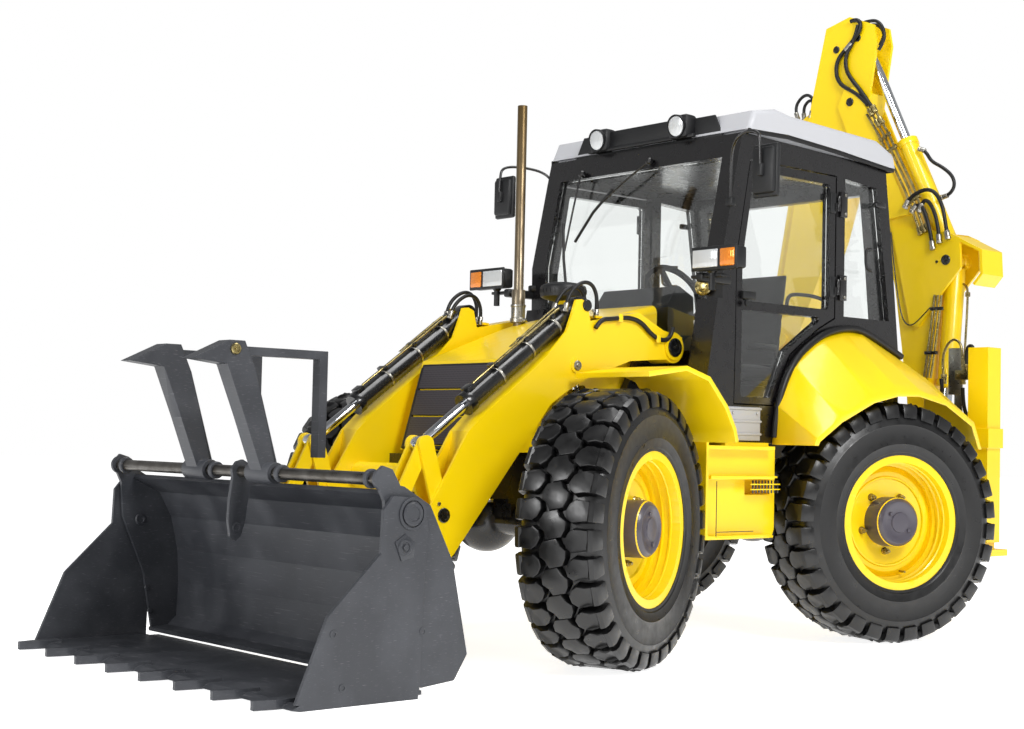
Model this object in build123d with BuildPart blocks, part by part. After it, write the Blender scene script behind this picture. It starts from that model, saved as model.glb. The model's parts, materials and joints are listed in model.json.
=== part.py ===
"""Backhoe loader: front loader with a clam bucket, cab, four steered wheels, side-shift backhoe.

Millimetres. +Z up, the machine drives towards -Y, its left side is +X, the wheels stand on z = 0.
Outlines in the side planes are (y, z) pairs measured from midway between the axles, and
outlines across the machine are (x, z) pairs. MID shifts both so that the box is centred on y = 0.
"""
import math
import os

from build123d import *

os.makedirs("parts", exist_ok=True)

# Driving sizes
MID = 203
WHEELBASE = 2170
TYRE_R = 685
LUG_DEPTH = 36
LUG_COUNT = 32
RIM_R = 355
RIM_LIP_R = 382
HUB_R = 140
KINGPIN_X = 930
WHEEL_OFFSET = 40
FRONT_STEER = 20.2
REAR_STEER = -17.8
BUCKET_WIDTH = 2400
PLATE = 20
ARM_IN = 390
ARM_OUT = 540
ARM_CHEEK = 16
LINK_X = (ARM_IN + ARM_OUT) / 2
SIDE_GAP = 0.5
LEVER_PLATE = 15.5
POST_IN = 342
CAB_HALF = 780
CAB_WALL = 70
CAB_FLOOR = 1120
ROOF_HALF = CAB_HALF + 30
RAIL_IN = 180
RAIL_OUT = 300
RAIL_LOW = 800
RAIL_TOP = 1020
HOOD_HALF = 325
FENDER_IN = 600
FENDER_OUT = 1120
REAR_FENDER_OUT = CAB_HALF + 390
STEP_OUT = 880
LEG_GAP = 0.6
SEAT_GAP = 0.3
REAR_FACE = 2150
LEG_X = 1005
LEG_SIZE = 100
LEG_WALL = 20
POST_X = 600
POST_Y = 2500
BOOM_HALF = 118
DIPPER_HALF = 95
DIG_BUCKET_WIDTH = 600
TIE_HOLE_R = 30
TIE_PLATE = 25

# Joint centres in the side planes (y, z)
ARM_PIVOT = (-230, 1630)
LIFT_FOOT = (-450, 620)
LIFT_EYE = (-955, 1498)
TILT_FOOT = (-888, 1815)
TILT_EYE = (-1913, 1073.5)
LEVER_PIVOT = (-1813, 734)
BUCKET_PIN = (-2086, 346)
LINK_PIN = (-2183, 557)
CLAM_PIN = (-2511, 783)
FORK_TUBE = (-2647, 928)

# Joint centres across the machine (x, z), in the plane y = POST_Y
BOOM_FOOT = (330, 950)
RAM_EYE = (440, 1330)
KNEE_PIN = (513, 2350)
BOOM_TIP = (-280, 3510)
DIPPER_EYE = (-239, 3960)
CROWD_FOOT = (-755, 3360)
IDLER_PIVOT = (-864, 1872)
IDLER_EYE = (-1060, 1711)
BUCKET_LUG = (-1122, 1457)
DIG_PIN = (-930, 1620)


def side(x):
    """Side plane at x: local axes are (y, z) and the normal points to +X."""
    return Plane((x, MID, 0), x_dir=(0, 1, 0), z_dir=(1, 0, 0))


def across(y):
    """Plane across the machine at y: local axes are (x, z) and the normal points to -Y."""
    return Plane((0, y + MID, 0), x_dir=(1, 0, 0), z_dir=(0, -1, 0))


def level(z):
    """Level plane at height z: local axes are (x, y)."""
    return Plane((0, MID, z))


def flat(plane, points, thick, corner=0, both=False, mode=Mode.ADD):
    """A plate: the outline on the plane, extruded by its thickness."""
    with BuildSketch(plane) as outline:
        with BuildLine():
            Polyline(*points, close=True)
        make_face()
        if corner:
            fillet(outline.vertices(), corner)
    extrude(outline.sketch, amount=thick, both=both, mode=mode)


def slab(points, x_from, x_to, corner=0, mode=Mode.ADD):
    """A plate in a side plane between two x values."""
    flat(side(x_from), points, x_to - x_from, corner, mode=mode)


def wall(points, half, corner=0, mode=Mode.ADD):
    """A plate across the machine, centred on the backhoe's plane."""
    flat(across(POST_Y), points, half, corner, both=True, mode=mode)


def band(points, thick):
    """Close an open line into a strip of even thickness, on the line's left side."""
    count = len(points)
    offset_points = []
    for i in range(count):
        before = points[max(i - 1, 0)]
        here = points[i]
        after = points[min(i + 1, count - 1)]
        a_in = math.atan2(here[1] - before[1], here[0] - before[0]) if i else None
        a_out = math.atan2(after[1] - here[1], after[0] - here[0]) if i < count - 1 else a_in
        a_in = a_out if a_in is None else a_in
        turn = math.atan2(math.sin(a_out - a_in), math.cos(a_out - a_in))
        middle = a_in + turn / 2 + math.pi / 2
        reach = thick / math.cos(turn / 2)
        offset_points.append((here[0] + reach * math.cos(middle), here[1] + reach * math.sin(middle)))
    return list(points) + offset_points[::-1]


def block(x_span, y_span, z_span, mode=Mode.ADD):
    """A plain box from its spans."""
    centre = (sum(x_span) / 2, sum(y_span) / 2 + MID, sum(z_span) / 2)
    with Locations(centre):
        Box(x_span[1] - x_span[0], y_span[1] - y_span[0], z_span[1] - z_span[0], mode=mode)


def disc_x(centre, radius, x_from, x_to, mode=Mode.ADD):
    """A round boss or bore along X."""
    with BuildSketch(side(x_from)) as outline:
        with Locations(centre):
            Circle(radius)
    extrude(outline.sketch, amount=x_to - x_from, mode=mode)


def disc_y(centre, radius, half, offset=0, mode=Mode.ADD):
    """A round boss or bore along Y, centred on the backhoe's plane plus an offset."""
    with BuildSketch(across(POST_Y + offset)) as outline:
        with Locations(centre):
            Circle(radius)
    extrude(outline.sketch, amount=half, both=True, mode=mode)


def bar(start, end, radius, mode=Mode.ADD):
    """A round bar between two points given as (x, y, z)."""
    first = Vector(start[0], start[1] + MID, start[2])
    last = Vector(end[0], end[1] + MID, end[2])
    with BuildSketch(Plane(first, z_dir=last - first)) as outline:
        Circle(radius)
    extrude(outline.sketch, amount=(last - first).length, mode=mode)


def along(start, end, distance):
    """The point at a distance from start towards end."""
    length = math.dist(start, end)
    return tuple(a + (b - a) * distance / length for a, b in zip(start, end))


# Frame rails, nose, arm posts, cylinder brackets, cross members and tie-down plates
SHELF_TOP = 1039.7
NOSE_FACE = -1500
TIE_FRONT = (250, -1566, 700)
PAD_TOP = TYRE_R + 90
LIFT_EYE_HALF = 28.5
LIFT_EAR = 16
with BuildPart() as chassis_frame:
    slab([(-1480, RAIL_LOW), (1960, RAIL_LOW), (1960, RAIL_TOP), (-1480, RAIL_TOP)], RAIL_IN, RAIL_OUT)
    for axle_y in (-WHEELBASE / 2, WHEELBASE / 2):
        block((RAIL_IN, RAIL_OUT), (axle_y - 110, axle_y + 110), (PAD_TOP, RAIL_LOW))
    slab([(-620, RAIL_TOP), (-90, RAIL_TOP), (-90, SHELF_TOP), (-620, SHELF_TOP)], 264, ARM_IN - SIDE_GAP)
    slab([(-620, SHELF_TOP), (-90, SHELF_TOP), (-120, 1560), (-160, 1715), (-300, 1715), (-350, 1560)],
         POST_IN, ARM_IN - SIDE_GAP)
    block((RAIL_OUT, LINK_X + LIFT_EYE_HALF + SIDE_GAP + LIFT_EAR), (-395, -345), (565, 720))
    block((RAIL_OUT - 20, RAIL_OUT), (-520, -345), (565, RAIL_LOW))
    for x in (LINK_X - LIFT_EYE_HALF - SIDE_GAP - LIFT_EAR, LINK_X + LIFT_EYE_HALF + SIDE_GAP):
        slab([(-480, 572), (-345, 565), (-345, 690), (-460, 672), (-500, 640), (-500, 600)], x, x + LIFT_EAR)
    block((RAIL_OUT, 399.6), (-60, 60), (860, 960))
    for y in (0, 1330):
        block((RAIL_IN + 20, RAIL_OUT), (y, y + 80), (RAIL_TOP, CAB_FLOOR - SEAT_GAP))
    with BuildSketch(level(TIE_FRONT[2])):
        with Locations(TIE_FRONT[:2]):
            RectangleRounded(100, 2 * (NOSE_FACE - TIE_FRONT[1]), 20)
            Circle(TIE_HOLE_R, mode=Mode.SUBTRACT)
    extrude(amount=TIE_PLATE)
    mirror(about=Plane.YZ)
    for y_from, y_to in ((-1480, -1380), (-560, -460), (300, 420), (1400, 1480), (1860, 1960)):
        block((-RAIL_IN, RAIL_IN), (y_from, y_to), (RAIL_LOW + 20, RAIL_TOP - 20))
    block((-RAIL_OUT, RAIL_OUT), (-1520, -1480), (640, RAIL_TOP))
    # The weldment keeps its tubes and plates as solids of their own, face to face
    for seam in (Plane.YZ.offset(-RAIL_IN), Plane.YZ.offset(RAIL_IN), Plane.XY.offset(RAIL_TOP)):
        split(bisect_by=seam, keep=Keep.BOTH)
chassis_frame.part.label = "chassis_frame"
export_step(chassis_frame.part, "parts/chassis_frame.step")

# Engine, one plain block between the rails under the hood
with BuildPart() as engine_block:
    block((-250, 250), (-1150, -420), (RAIL_TOP + SEAT_GAP, 1500))
engine_block.part.label = "engine_block"
export_step(engine_block.part, "parts/engine_block.step")

# Axle beams with the differential and the forks that hold the knuckles
YOKE_TOP = 200
YOKE_PLATE = 30
YOKE_R = 62
KNUCKLE_R = 54
with BuildPart() as axles:
    for axle_y in (-WHEELBASE / 2, WHEELBASE / 2):
        bar((-760, axle_y, TYRE_R), (760, axle_y, TYRE_R), 80)
        with Locations((0, axle_y + MID, TYRE_R)):
            Sphere(180)
        block((-RAIL_OUT, RAIL_OUT), (axle_y - 90, axle_y + 90), (TYRE_R + 20, PAD_TOP - SEAT_GAP))
        block((-250, 250), (axle_y - 200, axle_y + 200), (PAD_TOP - SEAT_GAP, TYRE_R + 215),
              mode=Mode.SUBTRACT)
        for hand in (1, -1):
            block(sorted((hand * 740, hand * 800)), (axle_y - YOKE_R, axle_y + YOKE_R),
                  (TYRE_R - YOKE_TOP, TYRE_R + YOKE_TOP))
            for low in (TYRE_R - YOKE_TOP, TYRE_R + YOKE_TOP - YOKE_PLATE):
                with BuildSketch(level(low)):
                    with Locations((hand * (KINGPIN_X - 65), axle_y)):
                        Rectangle(130, 2 * YOKE_R - 10)
                    with Locations((hand * KINGPIN_X, axle_y)):
                        Circle(YOKE_R)
                extrude(amount=YOKE_PLATE)
axles.part.label = "axles"
export_step(axles.part, "parts/axles.step")

# Steering knuckles and wheels, turned as they are in the photograph
CORNERS = {
    # name: hand, axle y, steering angle
    "front_left": (1, -WHEELBASE / 2, FRONT_STEER),
    "front_right": (-1, -WHEELBASE / 2, FRONT_STEER),
    "rear_left": (1, WHEELBASE / 2, REAR_STEER),
    "rear_right": (-1, WHEELBASE / 2, REAR_STEER),
}
SPINDLE_END = 60
TREAD_R = TYRE_R - LUG_DEPTH
TYRE_PROFILE = [(RIM_R + 0.5, 156), (RIM_LIP_R + 0.5, 182), (RIM_LIP_R + 0.5, 204), (465, 218),
                (575, 214), (TREAD_R, 184)]
LUG_SHARE = 0.6
LUG_ROWS = [(-192, -66, 0), (-66, 66, 0.5), (66, 192, 0)]


def lug_outline(phase):
    """Gear-like outline of one row of lugs, its roots inside the carcass."""
    points = []
    pitch = 2 * math.pi / LUG_COUNT
    for i in range(LUG_COUNT):
        middle = (i + phase) * pitch
        reach = LUG_SHARE * pitch / 2
        for radius, angle in ((TREAD_R - 12, middle - reach), (TYRE_R, middle - reach), (TYRE_R, middle),
                              (TYRE_R, middle + reach), (TREAD_R - 12, middle + reach)):
            points.append((radius * math.cos(angle), radius * math.sin(angle)))
    return points


# Rim, turned about Z, with the disc set in and the hub standing out
with BuildPart() as wheel_rim:
    with BuildSketch(Plane.XZ):
        with BuildLine():
            Polyline(
                (RIM_R, -160), (RIM_LIP_R, -185), (RIM_LIP_R, -200), (RIM_R - 15, -200),
                (RIM_R - 15, 10), (280, 50), (HUB_R - 10, 20.3), (0, 20.3), (0, 190),
                (HUB_R - 20, 190), (HUB_R, 170), (HUB_R, 45), (285, 70), (RIM_R - 15, 30),
                (RIM_R - 15, 200), (RIM_LIP_R, 200), (RIM_LIP_R, 185), (RIM_R, 160), close=True)
        make_face()
    revolve(axis=Axis.Z)

# Tyre: the turned carcass, three rows of lugs, and the rounded shoulders
with BuildPart() as wheel_tyre:
    with BuildSketch(Plane.XZ):
        with BuildLine():
            Polyline(*[(r, -w) for r, w in TYRE_PROFILE], *[(r, w) for r, w in TYRE_PROFILE[::-1]], close=True)
        make_face()
    revolve(axis=Axis.Z)
    with BuildPart(mode=Mode.PRIVATE) as lugs:
        for row_from, row_to, phase in LUG_ROWS:
            with BuildSketch(Plane.XY.offset(row_from)):
                with BuildLine():
                    Polyline(*lug_outline(phase), close=True)
                make_face()
                Circle(TREAD_R - 40, mode=Mode.SUBTRACT)
            extrude(amount=row_to - row_from)
        with BuildSketch(Plane.XZ):
            with BuildLine():
                Polyline((0, -192), (TREAD_R, -192), (TYRE_R + 1, -150), (TYRE_R + 1, 150), (TREAD_R, 192),
                         (0, 192), close=True)
            make_face()
        revolve(axis=Axis.Z, mode=Mode.INTERSECT)
    add(lugs.part)

for corner_name, (hand, axle_y, steer) in CORNERS.items():
    turn = math.radians(steer)
    outward = Vector(hand * math.cos(turn), hand * math.sin(turn), 0)
    kingpin = Vector(hand * KINGPIN_X, axle_y + MID, TYRE_R)
    wheel_plane = Plane(kingpin + outward * WHEEL_OFFSET, x_dir=(0, 0, 1), z_dir=outward)

    with BuildPart() as knuckle:
        with BuildSketch(Plane(kingpin - Vector(0, 0, YOKE_TOP - YOKE_PLATE - SEAT_GAP))):
            Circle(KNUCKLE_R)
        extrude(amount=2 * (YOKE_TOP - YOKE_PLATE - SEAT_GAP))
        with BuildSketch(Plane(kingpin, x_dir=(0, 0, 1), z_dir=outward)):
            Circle(HUB_R - 15)
        extrude(amount=SPINDLE_END)
    knuckle.part.label = f"{corner_name}_knuckle"
    export_step(knuckle.part, f"parts/{corner_name}_knuckle.step")

    for piece_name, shape in (("rim", wheel_rim.part), ("tyre", wheel_tyre.part)):
        placed = shape.moved(wheel_plane.location)
        placed.label = f"{corner_name}_{piece_name}"
        export_step(placed, f"parts/{corner_name}_{piece_name}.step")

# Hood, a shell open below, with the engine inside
HOOD_WALL = 25
EXHAUST_FOOT = (-285, -644, 1600)
EXHAUST_R = 28
HOOD_SIDE = [(-1430, 1040), (-1290, 1520), (-640, 1765), (-140, 1880), (-140, 1040)]
with BuildPart() as hood:
    slab(HOOD_SIDE, -HOOD_HALF, HOOD_HALF)
    fillet(hood.edges().filter_by(Axis.Y, tolerance=25).group_by(Axis.Z)[-1], 45)
    slab([(-1430 + 34, 1000), (-1290 + 20, 1520 - 20), (-640, 1765 - HOOD_WALL),
          (-140 - HOOD_WALL, 1880 - HOOD_WALL - 4), (-140 - HOOD_WALL, 1000)],
         -HOOD_HALF + HOOD_WALL, HOOD_HALF - HOOD_WALL, mode=Mode.SUBTRACT)
    bar(EXHAUST_FOOT, (EXHAUST_FOOT[0], EXHAUST_FOOT[1], 2000), EXHAUST_R + SIDE_GAP, mode=Mode.SUBTRACT)
hood.part.label = "hood"
export_step(hood.part, "parts/hood.step")

# Grille, three slats on the hood's face
GRILLE_HALF = 280
GRILLE_THICK = 18
with BuildPart() as grille:
    foot = HOOD_SIDE[0]
    top = HOOD_SIDE[1]
    for share_from, share_to in ((0.06, 0.36), (0.38, 0.66), (0.68, 0.93)):
        low = along(foot, top, share_from * math.dist(foot, top))
        high = along(foot, top, share_to * math.dist(foot, top))
        slab(band([low, high], GRILLE_THICK), -GRILLE_HALF, GRILLE_HALF)
grille.part.label = "grille"
export_step(grille.part, "parts/grille.step")

# Exhaust stack, standing in its hole in the hood, with a fatter collar above it
EXHAUST_TOP = 3020
with BuildPart() as exhaust_stack:
    bar(EXHAUST_FOOT, (*EXHAUST_FOOT[:2], EXHAUST_TOP), EXHAUST_R)
    bar((*EXHAUST_FOOT[:2], 1780), (*EXHAUST_FOOT[:2], 1960), 38)
    bar((*EXHAUST_FOOT[:2], 1900), (*EXHAUST_FOOT[:2], EXHAUST_TOP + 1), EXHAUST_R - 4, mode=Mode.SUBTRACT)
exhaust_stack.part.label = "exhaust_stack"
export_step(exhaust_stack.part, "parts/exhaust_stack.step")

# Front fenders on brackets from the arm posts
FENDER_WALL = 25
with BuildPart() as front_fenders:
    slab(band([(-1010, 1430), (-740, 1470), (-580, 1425), (-450, 1290), (-385, 1180), (-365, 1115)], FENDER_WALL),
         FENDER_IN, FENDER_OUT)
    for y, z in ((-358, 1150), (-392, 1232)):
        bar((ARM_IN - SIDE_GAP + SEAT_GAP, y, z), (FENDER_IN + 40, y, z), 14)
    mirror(about=Plane.YZ)
front_fenders.part.label = "front_fenders"
export_step(front_fenders.part, "parts/front_fenders.step")

# Rear fenders, sloping down from the cab's side to the tyre's outer face
RIDGE = [(330, 1110), (350, 1340), (480, 1580), (730, 1740), (940, 1790), (1110, 1790), (1420, 1680), (1790, 1540),
         (1800, 1110)]
LIP = [(215, 1110), (235, 1150), (440, 1270), (730, 1385), (960, 1430), (1170, 1435), (1440, 1390), (1720, 1270),
       (1800, 1110)]
RIDGE_IN = [(360, 1100), (380, 1325), (495, 1550), (737, 1708), (944, 1757), (1106, 1757), (1410, 1648), (1765, 1515),
            (1770, 1100)]
LIP_IN = [(245, 1100), (262, 1130), (452, 1238), (737, 1353), (963, 1398), (1166, 1403), (1428, 1360), (1695, 1243),
          (1770, 1100)]
with BuildPart() as rear_fenders:
    for ridge, lip, mode in ((RIDGE, LIP, Mode.ADD), (RIDGE_IN, LIP_IN, Mode.SUBTRACT)):
        for x, points in ((CAB_HALF + SEAT_GAP, ridge), (REAR_FENDER_OUT, lip)):
            with BuildSketch(side(x)):
                with BuildLine():
                    Polyline(*points, close=True)
                make_face()
        loft(mode=mode)
    mirror(about=Plane.YZ)
rear_fenders.part.label = "rear_fenders"
export_step(rear_fenders.part, "parts/rear_fenders.step")

# Cab frame: a hollow shell with door, side, front and rear openings
CAB_SIDE = [(-80, CAB_FLOOR), (-100, 1700), (-105, 2160), (10, 2700), (40, 2830), (1350, 2790), (1420, 2300),
            (1500, 1660), (1500, CAB_FLOOR)]
CAB_INSIDE = [(-20, CAB_FLOOR + 40), (-35, 1700), (-40, 2150), (70, 2690), (85, 2765), (1290, 2730), (1355, 2290),
              (1435, 1650), (1435, CAB_FLOOR + 40)]
DOOR = [(0, 1325), (5, 1700), (5, 2140), (110, 2690), (880, 2690), (880, 1850), (730, 1780), (480, 1620), (355, 1385),
        (340, 1325)]
HINGE_X = CAB_HALF + 13
WINDSCREEN_HALF = CAB_HALF - 120
REAR_WINDOW_HALF = CAB_HALF - 160
HINGE_Y = 885
HINGE_R = 11
HINGE_LENGTH = 90
HINGE_HEIGHTS = (1990, 2480)
QUARTER = [(960, 2680), (1270, 2660), (1400, 1870), (960, 1870)]
ARCH_R = 745
ARCH_IN = 440
ARCH_WALL = 30
CAB_WAIST = 1620
REAR_HUB = (WHEELBASE / 2, TYRE_R)
with BuildPart() as cab_space:
    slab(CAB_INSIDE, -CAB_HALF + CAB_WALL, CAB_HALF - CAB_WALL)
    disc_x(REAR_HUB, ARCH_R + ARCH_WALL, ARCH_IN - ARCH_WALL, CAB_HALF, mode=Mode.SUBTRACT)
    disc_x(REAR_HUB, ARCH_R + ARCH_WALL, -CAB_HALF, -ARCH_IN + ARCH_WALL, mode=Mode.SUBTRACT)
with BuildPart() as cab_frame:
    slab(CAB_SIDE, -CAB_HALF, CAB_HALF)
    add(cab_space.part, mode=Mode.SUBTRACT)
    disc_x(REAR_HUB, ARCH_R, ARCH_IN, CAB_HALF + 1, mode=Mode.SUBTRACT)
    disc_x(REAR_HUB, ARCH_R, -CAB_HALF - 1, -ARCH_IN, mode=Mode.SUBTRACT)
    slab(DOOR, CAB_HALF - CAB_WALL - 1, CAB_HALF + 1, mode=Mode.SUBTRACT)
    slab(DOOR, -CAB_HALF - 1, -CAB_HALF + CAB_WALL + 1, mode=Mode.SUBTRACT)
    slab(QUARTER, CAB_HALF - CAB_WALL - 1, CAB_HALF + 1, mode=Mode.SUBTRACT)
    slab(QUARTER, -CAB_HALF - 1, -CAB_HALF + CAB_WALL + 1, mode=Mode.SUBTRACT)
    block((-WINDSCREEN_HALF, WINDSCREEN_HALF), (-200, 84), (CAB_WAIST, 2700), mode=Mode.SUBTRACT)
    block((-REAR_WINDOW_HALF, REAR_WINDOW_HALF), (1300, 1600), (1720, 2640), mode=Mode.SUBTRACT)
    for hand in (1, -1):
        low, high = sorted((hand * (CAB_HALF - 150), hand * CAB_HALF))
        slab([(-270, 1150), (-75, 1150), (-95, 1900), (-140, 1900)], low, high)
        for z in HINGE_HEIGHTS:
            with BuildSketch(level(z + HINGE_LENGTH / 2 + SIDE_GAP)):
                with Locations((hand * HINGE_X, HINGE_Y)):
                    Circle(HINGE_R)
                with Locations((hand * (HINGE_X - 8), HINGE_Y + 20)):
                    Rectangle(14, 40)
            extrude(amount=HINGE_LENGTH / 2 - SIDE_GAP)
    # Side walls, body and upper frame are solids of their own, face to face
    for seam in (Plane.YZ.offset(CAB_WALL - CAB_HALF), Plane.YZ.offset(CAB_HALF - CAB_WALL),
                 Plane.YZ.offset(ARCH_WALL - ARCH_IN), Plane.YZ.offset(ARCH_IN - ARCH_WALL),
                 Plane.XY.offset(CAB_WAIST)):
        split(bisect_by=seam, keep=Keep.BOTH)
cab_frame.part.label = "cab_frame"
export_step(cab_frame.part, "parts/cab_frame.step")

# Roof with its overhang and the lamp visor
ROOF_SIDE = [(60, 2850), (110, 2960), (300, 2995), (430, 2975), (1230, 2945), (1370, 2890), (1400, 2795), (1350, 2795),
             (860, 2835), (400, 2860)]
ROOF_ROUND = 30
with BuildPart() as cab_roof:
    slab(ROOF_SIDE, -ROOF_HALF, ROOF_HALF)
    fillet(cab_roof.edges().filter_by(Axis.X, reverse=True).group_by(Axis.X)[0]
           .filter_by(lambda edge: edge.center().Z > 2900), ROOF_ROUND)
    fillet(cab_roof.edges().filter_by(Axis.X, reverse=True).group_by(Axis.X)[-1]
           .filter_by(lambda edge: edge.center().Z > 2900), ROOF_ROUND)
    slab([(90, 2870), (1330, 2850), (1330, 2780), (90, 2780)], -CAB_HALF + 10, CAB_HALF - 10)
    slab(CAB_SIDE, -CAB_HALF, CAB_HALF, mode=Mode.SUBTRACT)
cab_roof.part.label = "cab_roof"
export_step(cab_roof.part, "parts/cab_roof.step")

# Fixed panes: windscreen, rear window and the two quarter windows
PANE = 8
with BuildPart() as cab_glass:
    slab(band([(-70, 1624), (-78, 2160), (35, 2694)], -PANE),
         -WINDSCREEN_HALF + SIDE_GAP, WINDSCREEN_HALF - SIDE_GAP)
    slab(band([(1330, 2634), (1395, 2290), (1452, 1724)], PANE),
         -REAR_WINDOW_HALF + SIDE_GAP, REAR_WINDOW_HALF - SIDE_GAP)
    with BuildSketch(side(CAB_HALF - 40)):
        with BuildLine():
            Polyline((960.5, 2679), (1269, 2659), (1399, 1870.5), (960.5, 1870.5), close=True)
        make_face()
    extrude(amount=PANE)
    with BuildSketch(side(-CAB_HALF + 40 - PANE)):
        with BuildLine():
            Polyline((960.5, 2679), (1269, 2659), (1399, 1870.5), (960.5, 1870.5), close=True)
        make_face()
    extrude(amount=PANE)
cab_glass.part.label = "cab_glass"
export_step(cab_glass.part, "parts/cab_glass.step")

# Seat: pedestal, cushion and back
with BuildPart() as cab_seat:
    block((-200, 200), (620, 980), (CAB_FLOOR + 40, 1480))
    slab([(560, 1480), (1040, 1480), (1060, 1600), (560, 1600)], -260, 260, 30)
    slab([(960, 1560), (1090, 1580), (1150, 2180), (1050, 2180)], -240, 240, 30)
cab_seat.part.label = "cab_seat"
export_step(cab_seat.part, "parts/cab_seat.step")

# Dash hood, column and steering wheel
with BuildPart() as dash:
    slab([(-20, CAB_FLOOR + 40), (150, CAB_FLOOR + 40), (200, 1700), (190, 1950), (60, 2010), (-22, 1900)],
         -300, 300, 15)
    bar((0, 150, 1850), (0, 330, 1990), 28)
    steering_plane = Plane((0, 330 + MID, 1990), z_dir=(0, 180, 140))
    with BuildSketch(steering_plane):
        Circle(200)
        Circle(172, mode=Mode.SUBTRACT)
    extrude(amount=24)
    with BuildSketch(steering_plane):
        Circle(40)
        Rectangle(370, 30)
    extrude(amount=20)
dash.part.label = "dash"
export_step(dash.part, "parts/dash.step")

# Steps with the fuel tank on the left and the battery box on the right
STEP_IN = 400
STEP_BOX = STEP_OUT - 60
with BuildPart() as side_steps:
    slab([(-320, 640), (-300, 600), (290, 600), (310, 640), (310, 1100), (-320, 1100)], STEP_IN, STEP_BOX)
    block((STEP_BOX, STEP_OUT), (-320, 240), (1080, 1100))
    block((STEP_BOX, STEP_OUT), (-280, 240), (920, 940))
    block((STEP_BOX, STEP_OUT), (-300, 200), (600, 620))
    block((STEP_BOX - 110, STEP_BOX), (60, 270), (835, 920), mode=Mode.SUBTRACT)
    block((STEP_IN + 100, STEP_BOX - 30), (-70, 290), (1100, CAB_FLOOR - SEAT_GAP))
    block((STEP_BOX, STEP_OUT), (-320, -300), (600, 1180))
    block((STEP_BOX - 40, STEP_BOX), (-320, -300), (1100, 1180))
    mirror(about=Plane.YZ)
side_steps.part.label = "side_steps"
export_step(side_steps.part, "parts/side_steps.step")

# Lamps and mirrors on their brackets
with BuildPart() as lamps_mirrors:
    for hand in (1, -1):
        block(sorted((hand * 780, hand * 955)), (-330, -240), (2045, 2145))
        bar((hand * 800, -245, 2095), (hand * 740, -95, 2095), 14)
        block(sorted((hand * 265, hand * 380)), (-10, 60), (2865, 2965))
        bar((hand * 322, 20, 2915), (hand * 322, 120, 2915), 12)
        block(sorted((hand * 1000, hand * 1170)), (-190, -120), (2440, 2750))
        bar((hand * 1030, -150, 2706), (hand * 750, 30, 2706), 10)
    block((-265, 265), (20, 60), (2880, 2950))
    slab(CAB_SIDE, -CAB_HALF, CAB_HALF, mode=Mode.SUBTRACT)
    slab(ROOF_SIDE, -ROOF_HALF, ROOF_HALF, mode=Mode.SUBTRACT)
lamps_mirrors.part.label = "lamps_mirrors"
export_step(lamps_mirrors.part, "parts/lamps_mirrors.step")

# Backhoe frame: two rails, two leg columns, and the plates to the chassis
COLUMN_IN = LEG_X - LEG_SIZE / 2 - LEG_GAP - LEG_WALL
COLUMN_OUT = LEG_X + LEG_SIZE / 2 + LEG_GAP + LEG_WALL
COLUMN_FRONT = REAR_FACE - LEG_SIZE - 2 * LEG_GAP - 2 * LEG_WALL
TIE_REAR_X = 700
TIE_REAR_LOW = 600
with BuildPart() as backhoe_frame:
    for low in (560, 1120):
        block((-COLUMN_IN, COLUMN_IN), (COLUMN_FRONT, REAR_FACE), (low, low + 120))
    for x in (RAIL_OUT + SEAT_GAP + 40, -RAIL_OUT - SEAT_GAP - 40):
        block((x - 40, x + 40), (1965, COLUMN_FRONT), (600, 1230))
        block((x - 40, x + 40), (1700, 1965), (RAIL_LOW, RAIL_TOP))
    for hand in (1, -1):
        block(sorted((hand * COLUMN_IN, hand * COLUMN_OUT)), (COLUMN_FRONT, REAR_FACE), (540, 1740))
        block(sorted((hand * (COLUMN_IN - 20), hand * (COLUMN_OUT + 20))), (COLUMN_FRONT - 20, REAR_FACE),
              (1120, 1240))
        block(sorted((hand * (COLUMN_IN + LEG_WALL), hand * (COLUMN_OUT - LEG_WALL))),
              (COLUMN_FRONT + LEG_WALL, REAR_FACE - LEG_WALL), (500, 1715), mode=Mode.SUBTRACT)
    with BuildSketch(level(TIE_REAR_LOW)):
        with Locations((TIE_REAR_X, COLUMN_FRONT - 45), (-TIE_REAR_X, COLUMN_FRONT - 45)):
            RectangleRounded(100, 100, 20)
            Circle(TIE_HOLE_R, mode=Mode.SUBTRACT)
    extrude(amount=TIE_PLATE)
backhoe_frame.part.label = "backhoe_frame"
export_step(backhoe_frame.part, "parts/backhoe_frame.step")

# Stabiliser legs, sliding in the columns
for leg_name, hand in (("left", 1), ("right", -1)):
    with BuildPart() as leg:
        leg_y = COLUMN_FRONT + LEG_WALL + LEG_GAP + LEG_SIZE / 2
        block((hand * LEG_X - LEG_SIZE / 2, hand * LEG_X + LEG_SIZE / 2),
              (leg_y - LEG_SIZE / 2, leg_y + LEG_SIZE / 2), (500, 1700))
        block((hand * LEG_X - 110, hand * LEG_X + 110), (leg_y - 100, leg_y + 100), (460, 500))
    leg.part.label = f"{leg_name}_stabiliser_leg"
    export_step(leg.part, f"parts/{leg_name}_stabiliser_leg.step")

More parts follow.
